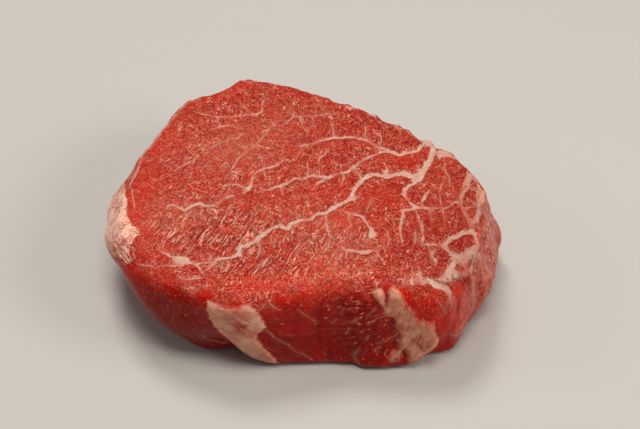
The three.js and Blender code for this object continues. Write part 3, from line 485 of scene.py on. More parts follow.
# ---------------------------------------------------------------- skin: points and faces
def build_skin():
    """points (n, 3) in mm, faces, and per point: degrees about the pole, mm below the upper edge, zone (0 top, 1 wall, 2 under)"""
    pts, deg_, v_, zone_, share_ = [], [], [], [], []
    faces = []

    def ring_deg(n):
        return np.arange(n) * 360.0 / n

    def push(xyz, deg, v, zone, share):
        start = sum(len(p) for p in pts)
        pts.append(xyz); deg_.append(deg); v_.append(v); zone_.append(np.full(len(xyz), zone)); share_.append(share)
        return np.arange(start, start + len(xyz))

    def zipper(inner, outer, up):
        n, m = len(inner), len(outer)
        i = j = 0
        while i < n or j < m:
            if j < m and (i >= n or (j + 1) * n <= (i + 1) * m):
                f = (inner[i % n], outer[j % m], outer[(j + 1) % m]); j += 1
            else:
                f = (inner[i % n], outer[j % m], inner[(i + 1) % n]); i += 1
            faces.append(f if up else f[::-1])

    # upper cut face
    degs = [ring_deg(8 * k) for k in range(1, RINGS + 1)]
    alld = np.concatenate(degs)
    start_r = profile(alld)[0, :, 0]
    at, rings = 0, []
    centre = push(np.array([[0.0, 0.0, THICKNESS]]), np.zeros(1), np.array([-45.0]), 0, np.zeros(1))
    for k in range(1, RINGS + 1):
        n = 8 * k
        d, R = degs[k - 1], start_r[at:at + n]
        at += n
        share = k / RINGS
        r = R * share
        a = np.radians(d)
        rings.append(push(np.stack([r * np.cos(a), r * np.sin(a), 0 * r + THICKNESS], -1), d, r - R, 0, 0 * r + share))
    for j in range(8):
        faces.append((centre[0], rings[0][j], rings[0][(j + 1) % 8]))
    for k in range(RINGS - 1):
        zipper(rings[k], rings[k + 1], True)
    # wall
    d = ring_deg(COLUMNS)
    line, along = resample(profile(d), WALL_ROWS)
    for c, h, w, tall, mm in PADS:
        line[..., 0] += mm * bell(turn(d, c), w)[None] * bell(line[..., 1] - h, tall)
    a = np.radians(d)
    prev = rings[-1]
    for k in range(1, WALL_ROWS + 1):
        r, z = line[k, :, 0], line[k, :, 1]
        row = push(np.stack([r * np.cos(a), r * np.sin(a), z], -1), d, along[k], 1, 0 * r)
        nxt, prv = np.roll(row, -1), np.roll(prev, -1)
        faces.extend(zip(prev, row, nxt, prv))
        prev = row
    # resting face
    foot = line[-1, :, 0]
    last = along[-1]
    outer = prev
    for k in range(UNDER_RINGS - 1, 0, -1):
        n = 8 * k
        dd = ring_deg(n)
        share = k / UNDER_RINGS
        R = np.interp(dd, np.append(d, 360), np.append(foot, foot[0]))
        V = np.interp(dd, np.append(d, 360), np.append(last, last[0]))
        a = np.radians(dd)
        row = push(np.stack([R * share * np.cos(a), R * share * np.sin(a), 0 * R], -1), dd, V + R * (1 - share), 2, 0 * R + share)
        zipper(row, outer, False)
        outer = row
    end = push(np.zeros((1, 3)), np.zeros(1), np.array([90.0]), 2, np.zeros(1))
    for j in range(8):
        faces.append((end[0], outer[(j + 1) % 8], outer[j]))
    P = np.concatenate(pts)
    P[:, :2] -= MIDDLE
    return P, faces, np.concatenate(deg_), np.concatenate(v_), np.concatenate(zone_), np.concatenate(share_)


P, FACES, DEG, V, ZONE, SHARE = build_skin()
N = len(P)
TRI = np.array([t for f in FACES for t in ((f,) if len(f) == 3 else ((f[0], f[1], f[2]), (f[0], f[2], f[3])))])
QUAD_FROM = len(FACES)
CUT = ZONE == 0
WALLZ = ZONE == 1
UNDER = ZONE == 2


def normals(P):
    n = np.cross(P[TRI[:, 1]] - P[TRI[:, 0]], P[TRI[:, 2]] - P[TRI[:, 0]])
    out = np.zeros_like(P)
    for k in range(3):
        np.add.at(out, TRI[:, k], n)
    return out / np.maximum(np.linalg.norm(out, axis=1, keepdims=True), 1e-12)


# broad relief of the cut face, as in the solid
fade = step(P[:, 2], THICKNESS - EDGE_FADE, THICKNESS) * ~UNDER
near = fade > 0
P[near, 2] += relief(P[near, 0], P[near, 1]) * fade[near]
BASE = P.copy()

# ---------------------------------------------------------------- where fat, seams and lean lie
# The seams run through the thickness: the resting face shows them again, a little shifted.
round_deg = np.arange(0, 361, 3.0)
outer_r = np.interp(DEG, round_deg, profile(round_deg)[0, :, 0])
FLAT = P[:, :2].copy()
u = np.radians(DEG)
FLAT[UNDER, 0] = (SHARE * outer_r * np.cos(u))[UNDER] - MIDDLE[0]
FLAT[UNDER, 1] = (SHARE * outer_r * np.sin(u))[UNDER] - MIDDLE[1]
q3 = np.c_[FLAT, np.zeros(N)]
FLAT[UNDER, 0] += 2.6 * noise(q3, 23, 5)[UNDER] + 1.5
FLAT[UNDER, 1] += 2.6 * noise(q3, 21, 6)[UNDER] - 1.0

vd = np.full(N, 99.0)
vs = np.full(N, 99.0)
vw = np.full(N, 0.3)


def take(mask, d, s, w):
    idx = np.flatnonzero(mask)
    closer = d - w < (vd - vw)[idx]
    i = idx[closer]
    vd[i], vs[i], vw[i] = d[closer], s[closer], w[closer]


on_faces = CUT | UNDER | (WALLZ & (V < 2.5) & (DEG > 240) & (DEG < 360)) | (WALLZ & (V < 1.5))
for line in VEINS:
    L = np.asarray(line, float)
    if L[-1, 0] < L[0, 0]:
        L = L[::-1]
    lo, hi = L[:, :2].min(0) - 4, L[:, :2].max(0) + 4
    m = on_faces & (FLAT > lo).all(1) & (FLAT < hi).all(1)
    if m.any():
        take(m, *to_line(FLAT[m], L))

vw = np.where(CUT & (FLAT[:, 0] > 37), 0.72 * vw, vw)      # finer net at the right end
fatd = np.full(N, 9.0)
for area in ISLANDS:
    L = np.asarray(area, float)
    lo, hi = L.min(0) - 5, L.max(0) + 5
    m = on_faces & (FLAT > lo).all(1) & (FLAT < hi).all(1)
    fatd[m] = np.minimum(fatd[m], to_area(FLAT[m], L))

fatd[CUT & (FLAT[:, 0] > 34)] += 0.4

RAD = np.hypot(*(P[:, :2] + MIDDLE).T)


def unrolled(deg0, radius):
    """(n, 2) mm: arc length from deg0 at one radius, and mm below the upper edge"""
    return np.stack([np.radians(turn(DEG, deg0)) * radius, V], -1)


def unroll_line(line, deg0, radius):
    L = np.asarray(line, float).copy()
    L[:, 0] = np.radians(turn(L[:, 0], deg0)) * radius
    return L


SKIRT = WALLZ | (CUT & (V > -6))
for line in WALL_LINES:
    L = np.asarray(line, float)
    c = L[:, 0].mean() if np.ptp(L[:, 0]) < 180 else 0.0
    m = SKIRT & (np.abs(turn(DEG, c)) < 12 + np.ptp(L[:, 0]) / 2)
    R = RAD[m & WALLZ].mean()
    take(m, *to_line(unrolled(c, R)[m], unroll_line(L, c, R)))
capd = np.full(N, 9.0)
for area in WALL_FAT + [CAP]:
    L = np.asarray(area, float)
    c = L[:, 0].mean()
    m = SKIRT & (np.abs(turn(DEG, c)) < 14 + np.ptp(L[:, 0]) / 2)
    R = RAD[m & WALLZ].mean()
    d = to_area(unrolled(c, R)[m], unroll_line(L, c, R))
    if area is CAP:
        capd[m] = d
    else:
        fatd[m] = np.minimum(fatd[m], d)

crease_and_shade = np.zeros(N)
for line in CREASES_AND_SHADE:
    L = np.asarray(line, float)
    c = L[:, 0].mean() if np.ptp(L[:, 0]) < 180 else 0.0
    m = SKIRT & (np.abs(turn(DEG, c)) < 14)
    R = RAD[m & WALLZ].mean()
    d, _, w = to_line(unrolled(c, R)[m], unroll_line(L, c, R))
    crease_and_shade[m] = np.maximum(crease_and_shade[m], bell(d, np.maximum(w, 0.25) * 1.3))

# how far a point is from the cut faces: 0 on them, 1 on the wall
start = 0.8 + 1.0 * bell(turn(DEG, 275), 50) + 4.5 * bell(turn(DEG, 216), 16) + 3.5 * bell(turn(DEG, 321), 12) + (1.0 + 2.6 * bell(turn(DEG, 275), 50)) * noise(P, 4.5, 9) + 1.0 * noise(P, 1.6, 10)
reach = 1.6 + 4.4 * bell(turn(DEG, 275), 50)
wall_deg = np.append(DEG[WALLZ][:COLUMNS], 360)
wall_end = V[WALLZ].reshape(WALL_ROWS, COLUMNS)[-1]
END = np.interp(DEG, wall_deg, np.append(wall_end, wall_end[0]))
side = step(V, start, start + reach) * (1 - step(V, END - 2.0, END - 0.4))

# the smooth rim of the cut face, without torn fibres
calm = np.zeros(N)
for x, y, wx, wy, t in SMOOTH:
    calm += t * np.exp(-((FLAT[:, 0] - x) / wx) ** 2 - ((FLAT[:, 1] - y) / wy) ** 2)
for d0, v0, wd, wv, t in CALM:
    calm += t * np.exp(-(turn(DEG, d0) / wd) ** 2 - ((V - v0) / wv) ** 2)

# ---------------------------------------------------------------- fine relief
NRM = normals(P)
ca, sa = math.cos(FIBRE), math.sin(FIBRE)
FIB = np.stack([ca * P[:, 0] + sa * P[:, 1], -sa * P[:, 0] + ca * P[:, 1], P[:, 2]], -1)
FIB = FIB + 1.2 * np.stack([noise(P, 9, 31), noise(P, 9, 32), 0 * vd], -1)
flat_w = 1 - side
h = np.zeros(N)
torn = sum(t * np.exp(-((FLAT[:, 0] - x) / wx) ** 2 - ((FLAT[:, 1] - y) / wy) ** 2) for x, y, wx, wy, t in WET)
h += flat_w * np.clip(torn, 0, 1) * (0.12 * noise(FIB, (4.5, 1.3, 2), 7) + 0.08 * noise(P, 1.5, 8))
flat_w = flat_w * (1 - 0.6 * np.clip(calm, 0, 1))
h += flat_w * (0.16 * fbm(P, 7, 1, 2) + 0.10 * noise(P, 2.4, 2) + 0.11 * noise(FIB, (3.4, 0.95, 2), 3) + 0.06 * noise(FIB, (2.2, 0.7, 1), 4))
h += flat_w * np.clip(vw / 0.5, 0.4, 1.2) * (-0.30 * bell(vd, 1.0) + 0.14 * bell(vd - 2.0, 1.3)) * (vd < 50)
h += side * (0.30 * fbm(P, 10, 11, 2) + 0.08 * noise(P, (2.0, 2.0, 12.0), 12) + 0.04 * noise(P, (1.0, 1.0, 7.0), 13))
wallfat = 1 - step(fatd, -0.9, 0.35)
h += wallfat * (0.28 + 0.22 * side + 0.14 * noise(P, 3.2, 21) + 0.06 * noise(P, 1.3, 22))
h += sum(mm * bell(turn(DEG, d0), wd) * bell(V - v0, wv) for d0, v0, wd, wv, mm in LUMPS) - 0.28 * crease_and_shade
# soft upright folds of the membrane on the right, and wrinkles under the end cap
folds = side * bell(turn(DEG, 343), 17)
arc = np.radians(turn(DEG, 343)) * RAD
fold = 0.75 * np.sin(arc / 1.7 + 1.3 * noise(P, (6, 6, 16), 41)) + 0.28 * np.sin(arc / 0.83 + 2.0 * noise(P, (5, 5, 14), 42))
fold = fold * np.clip(0.55 + 0.9 * noise(P, (6, 6, 8), 44), 0.1, 1.15)
h += folds * fold
wr = bell(turn(DEG, 205), 9) * bell(V - 7, 5.5)
h += wr * 0.22 * np.sin(V / 0.42 + 3.2 * noise(P, (5, 5, 5), 43) + 0.05 * arc)
# the outline is never quite smooth: small bulges along the rim, ragged skin on the right
rim = bell(V - 0.5, 2.6) * ~UNDER
back = rim * step(np.abs(turn(DEG, 95)), 95, 75)
h += rim * 0.22 * noise(P, (2.6, 2.6, 4.0), 51) + back * (0.38 * noise(P, (4.2, 4.2, 6.0), 52) + 0.25 * noise(P, (2.0, 2.0, 3.0), 53))
h += side * 0.18 * noise(P, (3.5, 3.5, 9.0), 54)
h += side * bell(turn(DEG, 350), 14) * 0.45 * noise(P, (2.2, 2.2, 3.0), 55)
# keep the resting face flat, with shallow dents only
h = np.where(UNDER, -np.abs(0.10 * fbm(P, 5, 61, 2)) - 0.06 * bell(vd, 0.7), h)
low = step(P[:, 2], 0.0, 2.0)
h = np.where(UNDER, h, h * low)
P = P + NRM * h[:, None]
P[:, 2] = np.maximum(P[:, 2], 0.0)

# ---------------------------------------------------------------- tone and painted light and shade: darker and lighter places
tone_and_painted_light = np.zeros(N)
for x, y, wx, wy, t in TONES_AND_PAINTED_SHADE:
    tone_and_painted_light += t * np.exp(-((FLAT[:, 0] - x) / wx) ** 2 - ((FLAT[:, 1] - y) / wy) ** 2) * (1 - side)
for d0, v0, wd, wv, t in WALL_TONES_AND_PAINTED_LIGHT:
    tone_and_painted_light += t * np.exp(-(turn(DEG, d0) / wd) ** 2 - ((V - v0) / wv) ** 2) * side
pink = np.zeros(N)
for d0, v0, wd, wv, t in WALL_PINK:
    pink += t * np.exp(-(turn(DEG, d0) / wd) ** 2 - ((V - v0) / wv) ** 2) * side
wet = np.zeros(N)
for x, y, wx, wy, t in WET:
    wet += t * np.exp(-((FLAT[:, 0] - x) / wx) ** 2 - ((FLAT[:, 1] - y) / wy) ** 2)


painted_sheen = np.zeros(N)
for x, y, wx, wy, t in PAINTED_SHEEN_PATCHES:
    painted_sheen += t * np.exp(-((FLAT[:, 0] - x) / wx) ** 2 - ((FLAT[:, 1] - y) / wy) ** 2)


def wall_sum(table):
    return sum(t * np.exp(-(turn(DEG, d0) / wd) ** 2 - ((V - v0) / wv) ** 2) for d0, v0, wd, wv, t in table)


rugged = wall_sum(RUGGED)
thin = np.clip(wall_sum(THIN) + sum(t * np.exp(-((FLAT[:, 0] - x) / wx) ** 2 - ((FLAT[:, 1] - y) / wy) ** 2) for x, y, wx, wy, t in THIN_TOP), 0, 1)
slant = P[:, 2] * np.interp(DEG, [0, 200, 235, 250, 262, 276, 290, 300, 325, 345, 360], [0, 0.3, 1.0, 1.0, 0.9, 0.35, -0.3, -0.5, 0.2, 0, 0])

# ---------------------------------------------------------------- Blender mesh
mesh = bpy.data.meshes.new("steak_skin")
mesh.from_pydata((P / 1000).tolist(), [], [tuple(int(i) for i in f) for f in FACES])
mesh.update()
mesh.polygons.foreach_set("use_smooth", [True] * len(mesh.polygons))


def attribute(name, values):
    a = mesh.attributes.new(name, "FLOAT", "POINT")
    a.data.foreach_set("value", np.asarray(values, np.float32))


attribute("seam_side", np.clip(vs, -6, 6))
attribute("seam_dist", np.clip(vd, 0, 6))
attribute("seam_half", vw)
attribute("fat_dist", np.clip(fatd, -6, 6))
attribute("cap_dist", np.clip(capd, -9, 9))
attribute("side", side)
attribute("calm", np.clip(calm, 0, 1))
attribute("slant", slant)
attribute("rugged", np.clip(rugged, 0, 1))
attribute("thin", np.clip(thin, 0, 1))
attribute("crease_and_shade", np.clip(crease_and_shade, 0, 1))
attribute("tone_and_painted_light", tone_and_painted_light)
attribute("pink", np.clip(pink, 0, 1))
attribute("wet", np.clip(wet, 0, 1))
attribute("painted_light", np.clip(wall_sum(PAINTED_LIGHT_BANDS), 0, 1))
attribute("painted_sheen", np.clip(painted_sheen, 0, 1))
attribute("fold", folds * fold)
painted_shade = wall_sum(PAINTED_SHADE_WALL) + (1 - side) * sum(t * np.exp(-((FLAT[:, 0] - x) / wx) ** 2 - ((FLAT[:, 1] - y) / wy) ** 2) for x, y, wx, wy, t in PAINTED_SHADE_TOP)
attribute("painted_shade", np.clip(painted_shade, 0, 1))
attribute("striae", np.clip(1.3 * wr, 0, 1))

# a plain layout of the surface: the two cut faces side by side and the wall in strips
uv = mesh.uv_layers.new(name="OFBake")
corner_vertex = np.empty(len(mesh.loops), np.int32)
mesh.loops.foreach_get("vertex_index", corner_vertex)
poly_start = np.empty(len(mesh.polygons), np.int32)
poly_total = np.empty(len(mesh.polygons), np.int32)
mesh.polygons.foreach_get("loop_start", poly_start)
mesh.polygons.foreach_get("loop_total", poly_total)
poly = np.repeat(np.arange(len(poly_start)), poly_total)
zone_c = ZONE[corner_vertex]
zmax = np.maximum.reduceat(zone_c, poly_start)
zmin = np.minimum.reduceat(zone_c, poly_start)
kind = np.where(zmax == 0, 0, np.where(zmin == 2, 2, np.where((zmax == 1), 1, 2)))[poly]
SIDE_MM = 250.0
xy = BASE[corner_vertex, :2]
uvs = np.zeros((len(corner_vertex), 2))
m = kind == 0
uvs[m] = (xy[m] + (62, 48)) / SIDE_MM
m = kind == 2
uvs[m] = (np.stack([-xy[m, 0], xy[m, 1]], -1) + (187, 48)) / SIDE_MM
m = kind == 1
deg_c = DEG[corner_vertex].astype(float)
first = np.repeat(deg_c[poly_start], poly_total)
deg_c = np.where(deg_c - first < -180, deg_c + 360, np.where(deg_c - first > 180, deg_c - 360, deg_c))
low_deg = np.repeat(np.minimum.reduceat(deg_c, poly_start), poly_total)
strip = np.clip(np.floor((low_deg + 1e-6) / 180.0), 0, 1)
uvs[m, 0] = (4 + (deg_c[m] - 180 * strip[m]) / 180.0 * 236) / SIDE_MM
uvs[m, 1] = (104 + 66 * strip[m] + V[corner_vertex][m] * 1.4) / SIDE_MM
uv.data.foreach_set("uv", uvs.astype(np.float32).ravel())

steak = bpy.data.objects.new("steak_skin", mesh)
bpy.context.scene.collection.objects.link(steak)


# ---------------------------------------------------------------- materials
class Nodes:
    def __init__(self, name):
        self.mat = bpy.data.materials.new(name)
        self.mat.use_nodes = True
        self.tree = self.mat.node_tree
        self.tree.nodes.clear()

    def new(self, kind, **props):
        n = self.tree.nodes.new(kind)
        for k, v in props.items():
            setattr(n, k, v)
        return n

    def put(self, socket, value):
        if isinstance(value, bpy.types.NodeSocket):
            self.tree.links.new(value, socket)
        else:
            socket.default_value = value

    def math(self, op, a, b=0.0, c=0.0, clamp=False):
        n = self.new("ShaderNodeMath", operation=op, use_clamp=clamp)
        for s, v in zip(n.inputs, (a, b, c)):
            self.put(s, v)
        return n.outputs[0]

    def add(self, a, b):
        return self.math("ADD", a, b)

    def sub(self, a, b):
        return self.math("SUBTRACT", a, b)

    def mul(self, a, b, clamp=False):
        return self.math("MULTIPLY", a, b, clamp=clamp)

    def ramp(self, x, a, b, to0=0.0, to1=1.0):
        n = self.new("ShaderNodeMapRange", interpolation_type="SMOOTHSTEP", clamp=True)
        for s, v in zip(n.inputs, (x, a, b, to0, to1)):
            self.put(s, v)
        return n.outputs[0]

    def mix(self, f, a, b, blend="MIX"):
        n = self.new("ShaderNodeMix", data_type="RGBA", blend_type=blend, clamp_factor=True)
        self.put(n.inputs[0], f)
        self.put(n.inputs[6], a)
        self.put(n.inputs[7], b)
        return n.outputs[2]

    def attr(self, name):
        return self.new("ShaderNodeAttribute", attribute_name=name).outputs["Fac"]

    def scaled(self, v, s):
        n = self.new("ShaderNodeVectorMath", operation="MULTIPLY")
        self.put(n.inputs[0], v)
        n.inputs[1].default_value = s
        return n.outputs[0]

    def noise(self, v, size, detail=2.0, rough=0.5, distort=0.0):
        n = self.new("ShaderNodeTexNoise", noise_dimensions="3D")
        self.put(n.inputs["Vector"], v)
        n.inputs["Scale"].default_value = 1.0 / size
        n.inputs["Detail"].default_value = detail
        n.inputs["Roughness"].default_value = rough
        n.inputs["Distortion"].default_value = distort
        return n.outputs["Fac"]

    def shifted(self, v, offset):
        n = self.new("ShaderNodeVectorMath", operation="ADD")
        self.put(n.inputs[0], v)
        self.put(n.inputs[1], offset)
        return n.outputs[0]

    def around(self, x, k):
        """(x - 0.5) * k"""
        return self.math("MULTIPLY_ADD", x, k, -0.5 * k)


def meat_material():
    g = Nodes("raw_beef")
    coord = g.new("ShaderNodeTexCoord").outputs["Object"]
    p = g.scaled(coord, (1000.0, 1000.0, 1000.0))          # millimetres
    side, tone_and_painted_light, wet, pink = g.attr("side"), g.attr("tone_and_painted_light"), g.attr("wet"), g.attr("pink")
    seam_side, seam_dist, seam_half, fat_dist = (g.attr(n) for n in ("seam_side", "seam_dist", "seam_half", "fat_dist"))

    # coordinates along and across the torn fibres, gently bent
    bend = g.new("ShaderNodeTexNoise", noise_dimensions="3D")
    g.put(bend.inputs["Vector"], p)
    bend.inputs["Scale"].default_value = 1 / 8.0
    bend.inputs["Detail"].default_value = 1.0
    b = g.new("ShaderNodeVectorMath", operation="MULTIPLY_ADD")
    g.put(b.inputs[0], bend.outputs["Color"])
    b.inputs[1].default_value = (3.5, 3.5, 3.5)
    g.put(b.inputs[2], p)
    rot = g.new("ShaderNodeVectorRotate", rotation_type="Z_AXIS")
    g.put(rot.inputs["Vector"], b.outputs[0])
    rot.inputs["Angle"].default_value = -FIBRE
    fib = rot.outputs[0]

    n_big = g.noise(p, 15.0, 2.0)
    n_mid = g.noise(p, 4.2, 3.0, 0.6)
    n_small = g.noise(p, 1.3, 2.0, 0.6)
    n_fine = g.noise(p, 0.42, 2.0, 0.6)

    # ---- lean on the cut faces
    # lean colour: random tone, lighter in the wet places, and the tone table, which is partly painted shade
    t = g.add(0.5, g.add(g.around(n_big, 0.6), g.add(g.around(n_mid, 0.7), g.add(g.mul(tone_and_painted_light, 0.5), g.mul(wet, 0.45)))))
    lean = g.mix(t, LEAN_DARK, LEAN_LIGHT)
    lean = g.mix(g.mul(g.ramp(g.noise(g.shifted(p, (31.0, 7.0, 3.0)), 8.0, 1.5), 0.44, 0.62), 0.55), lean, LEAN_DULL)
    busy = g.math("MULTIPLY_ADD", g.attr("calm"), -0.65, 1.0)      # the rim is smoother
    # grains of cut fibre bundles: each one darker, redder or paler than the next
    wetness = g.ramp(g.add(g.add(g.around(n_big, 0.8), g.around(n_mid, 1.1)), g.add(0.10, g.mul(wet, 0.8))), 0.0, 1.0)
    torn = g.ramp(wet, 0.1, 0.8)
    strength = g.mul(busy, g.math("MULTIPLY_ADD", wetness, 0.30, 0.60))
    grainy = g.math("MULTIPLY_ADD", torn, -0.50, 1.0)
    warp = g.new("ShaderNodeTexNoise", noise_dimensions="3D")
    g.put(warp.inputs["Vector"], p)
    warp.inputs["Scale"].default_value = 1 / 1.1
    warp.inputs["Detail"].default_value = 1.0
    w = g.new("ShaderNodeVectorMath", operation="MULTIPLY_ADD")
    g.put(w.inputs[0], warp.outputs["Color"])
    w.inputs[1].default_value = (0.8, 0.8, 0.8)
    g.put(w.inputs[2], fib)
    fib_w = w.outputs[0]

    def grains(v, size, offset):
        cell = g.new("ShaderNodeTexVoronoi", voronoi_dimensions="3D", feature="F1")
        g.put(cell.inputs["Vector"], g.scaled(g.shifted(v, offset), tuple(1 / c for c in size)))
        cell.inputs["Scale"].default_value = 1.0
        split = g.new("ShaderNodeSeparateColor")
        g.put(split.inputs[0], cell.outputs["Color"])
        return cell.outputs["Distance"], split.outputs[0], split.outputs[1]

    d1, r1, k1 = grains(fib_w, (0.72, 0.42, 0.5), (0, 0, 0))
    d2, r2, k2 = grains(fib_w, (1.5, 0.60, 0.9), (5.3, 2.7, 1.1))
    lean = g.mix(g.mul(g.ramp(r1, 0.35, 0.95), g.mul(strength, g.mul(grainy, 0.50))), lean, LEAN_BRIGHT)
    lean = g.mix(g.mul(g.ramp(k1, 0.50, 1.0), g.mul(busy, g.mul(grainy, 0.36))), lean, LEAN_DEEP)
    d4, r4, k4 = grains(p, (0.40, 0.34, 0.36), (3.1, 8.2, 4.4))
    salt = g.math("MULTIPLY_ADD", busy, 0.7, 0.3)
    lean = g.mix(g.mul(g.ramp(r4, 0.45, 1.0), g.mul(salt, 0.72)), lean, LEAN_SALT)
    lean = g.mix(g.mul(g.ramp(k4, 0.50, 1.0), g.mul(salt, 0.76)), lean, LEAN_DEEP)
    gap = g.mul(g.ramp(d1, 0.40, 0.66), g.mul(busy, 0.75))
    lean = g.mix(g.mul(gap, 0.30), lean, LEAN_DEEP)
    # bundles of fibres, parted by a faint pale net
    cells = g.new("ShaderNodeTexVoronoi", voronoi_dimensions="3D", feature="DISTANCE_TO_EDGE")
    g.put(cells.inputs["Vector"], g.scaled(fib, (1 / 3.1, 1 / 1.9, 1 / 3.0)))
    cells.inputs["Scale"].default_value = 1.0
    net = g.ramp(cells.outputs["Distance"], 0.085, 0.02)
    net = g.mul(net, g.ramp(n_mid, 0.42, 0.62))
    lean = g.mix(g.mul(net, g.mul(busy, 0.28)), lean, NET)
    # torn threads: curly pale ones with a dark cut beside them, and long parallel ones where the mask asks for them;
    # the pale threads are partly painted glints of wet fibre ridges, the dark cuts painted shadow
    gate_a = g.noise(g.shifted(p, (4.0, 9.0, 2.0)), 2.8, 1.5, 0.5)
    gate_b = g.noise(g.shifted(p, (14.0, 3.0, 8.0)), 3.6, 1.5, 0.5)
    curl = g.noise(g.scaled(fib, (1 / 2.1, 1 / 1.3, 1 / 1.3)), 1.0, 1.0, 0.5)
    open_a = g.mul(g.ramp(g.add(gate_a, g.around(wetness, 0.22)), 0.47, 0.56), grainy)
    thread_and_glint = g.mul(g.ramp(g.math("ABSOLUTE", g.sub(curl, 0.540)), 0.042, 0.020), open_a)
    cut_shadow = g.mul(g.ramp(g.math("ABSOLUTE", g.sub(curl, 0.480)), 0.038, 0.016), open_a)
    arc = g.noise(g.scaled(fib, (1 / 4.2, 1 / 2.6, 1 / 2.6)), 1.0, 1.0, 0.5)
    open_b = g.ramp(g.add(gate_b, g.around(wetness, 0.14)), 0.50, 0.57)
    thread_and_glint = g.math("MAXIMUM", thread_and_glint, g.mul(g.ramp(g.math("ABSOLUTE", g.sub(arc, 0.524)), 0.026, 0.012), open_b))
    cut_shadow = g.math("MAXIMUM", cut_shadow, g.mul(g.ramp(g.math("ABSOLUTE", g.sub(arc, 0.488)), 0.024, 0.010), open_b))
    pale_bit_and_glint = g.mul(g.ramp(g.add(r2, g.mul(wetness, 0.08)), 0.975, 1.0), g.ramp(d2, 0.50, 0.30))
    tiny = g.mul(g.ramp(g.add(k2, g.mul(wetness, 0.08)), 0.94, 0.98), g.ramp(d1, 0.38, 0.22))
    long_a = g.noise(g.scaled(fib, (1 / 5.6, 1 / 0.60, 1 / 1.0)), 1.0, 1.0, 0.35)
    across = g.new("ShaderNodeVectorRotate", rotation_type="Z_AXIS")
    g.put(across.inputs["Vector"], b.outputs[0])
    across.inputs["Angle"].default_value = -FIBRE - 1.25
    long_b = g.noise(g.scaled(across.outputs[0], (1 / 3.6, 1 / 0.50, 1 / 1.0)), 1.0, 1.0, 0.4)
    cluster = g.around(gate_b, 0.42)
    long_thread_and_glint = g.mul(g.ramp(g.add(long_a, cluster), 0.61, 0.66), torn)
    long_cut_shadow = g.mul(g.ramp(g.sub(long_a, cluster), 0.395, 0.35), g.mul(torn, 0.8))
    long_thread_and_glint = g.math("MAXIMUM", long_thread_and_glint, g.mul(g.ramp(g.add(long_b, g.around(gate_a, 0.30)), 0.69, 0.73), g.math("MULTIPLY_ADD", torn, 0.5, 0.5)))
    pale_and_glint = g.math("MAXIMUM", g.math("MAXIMUM", g.mul(thread_and_glint, 0.7), long_thread_and_glint), g.math("MAXIMUM", pale_bit_and_glint, tiny))
    painted_light = g.attr("painted_light")
    pale_and_glint = g.mul(pale_and_glint, g.mul(busy, g.math("MULTIPLY_ADD", painted_light, -0.7, 1.0)), clamp=True)
    # pale fibre ends, partly painted glints
    lean = g.mix(g.mul(pale_and_glint, 0.78), lean, STROKE_AND_GLINT)
    # dark creases and cuts between the fibres: bumped down, and darkened with painted shadow
    crease = g.noise(g.scaled(fib, (1 / 2.6, 1 / 1.0, 1 / 1.0)), 1.0, 2.0, 0.55)
    fibre_crease_shadow = g.mul(g.ramp(g.math("ABSOLUTE", g.sub(crease, 0.5)), 0.034, 0.010), g.ramp(gate_a, 0.48, 0.40))
    fibre_crease_shadow = g.math("MAXIMUM", g.mul(g.math("MAXIMUM", fibre_crease_shadow, cut_shadow), strength), g.mul(long_cut_shadow, busy))
    lean = g.mix(g.mul(fibre_crease_shadow, 0.90), lean, CUT_SHADE_RED)

    # painted sheen in broad paler patches
    lean = g.mix(g.mul(g.attr("painted_sheen"), g.ramp(n_small, 0.3, 0.7, 0.2, 0.5)), lean, NET)

    # ---- lean on the wall: finer and smoother, the fibres slanting as the muscle does
    slant = g.new("ShaderNodeCombineXYZ")
    g.put(slant.inputs[0], g.attr("slant"))
    wp = g.shifted(p, slant.outputs[0])
    grain = g.noise(g.scaled(wp, (1 / 0.9, 1 / 0.9, 1 / 8.0)), 1.0, 3.0, 0.6)
    grain2 = g.noise(g.scaled(wp, (1 / 3.0, 1 / 3.0, 1 / 14.0)), 1.0, 2.0, 0.5)
    # wall colour: random grain and the wall tone table, which is partly painted light and shade
    tw = g.add(0.45, g.add(g.around(grain, 0.9), g.add(g.around(grain2, 0.9), g.mul(tone_and_painted_light, 0.9))))
    wall = g.mix(tw, WALL_DARK, WALL_LIGHT)
    streak = g.noise(g.scaled(wp, (1 / 1.1, 1 / 1.1, 1 / 6.0)), 1.0, 4.0, 0.7)
    fine_streak = g.noise(g.scaled(wp, (1 / 0.55, 1 / 0.55, 1 / 1.8)), 1.0, 2.0, 0.6)
    membrane = g.mix(g.ramp(g.add(streak, g.add(g.around(n_small, 0.35), g.around(fine_streak, 0.75))), 0.32, 0.70), MEMBRANE_RED, MEMBRANE_PALE)
    membrane = g.mix(g.mul(g.ramp(g.math("ABSOLUTE", g.sub(streak, 0.47)), 0.03, 0.008), 0.7), membrane, WALL_DARK)
    membrane = g.mix(g.mul(g.ramp(fine_streak, 0.42, 0.30), 0.55), membrane, WALL_DARK)
    skin_mask = g.add(pink, g.mul(g.ramp(g.add(n_mid, g.around(grain, 0.5)), 0.58, 0.74), 0.12))
    wall = g.mix(skin_mask, wall, membrane)
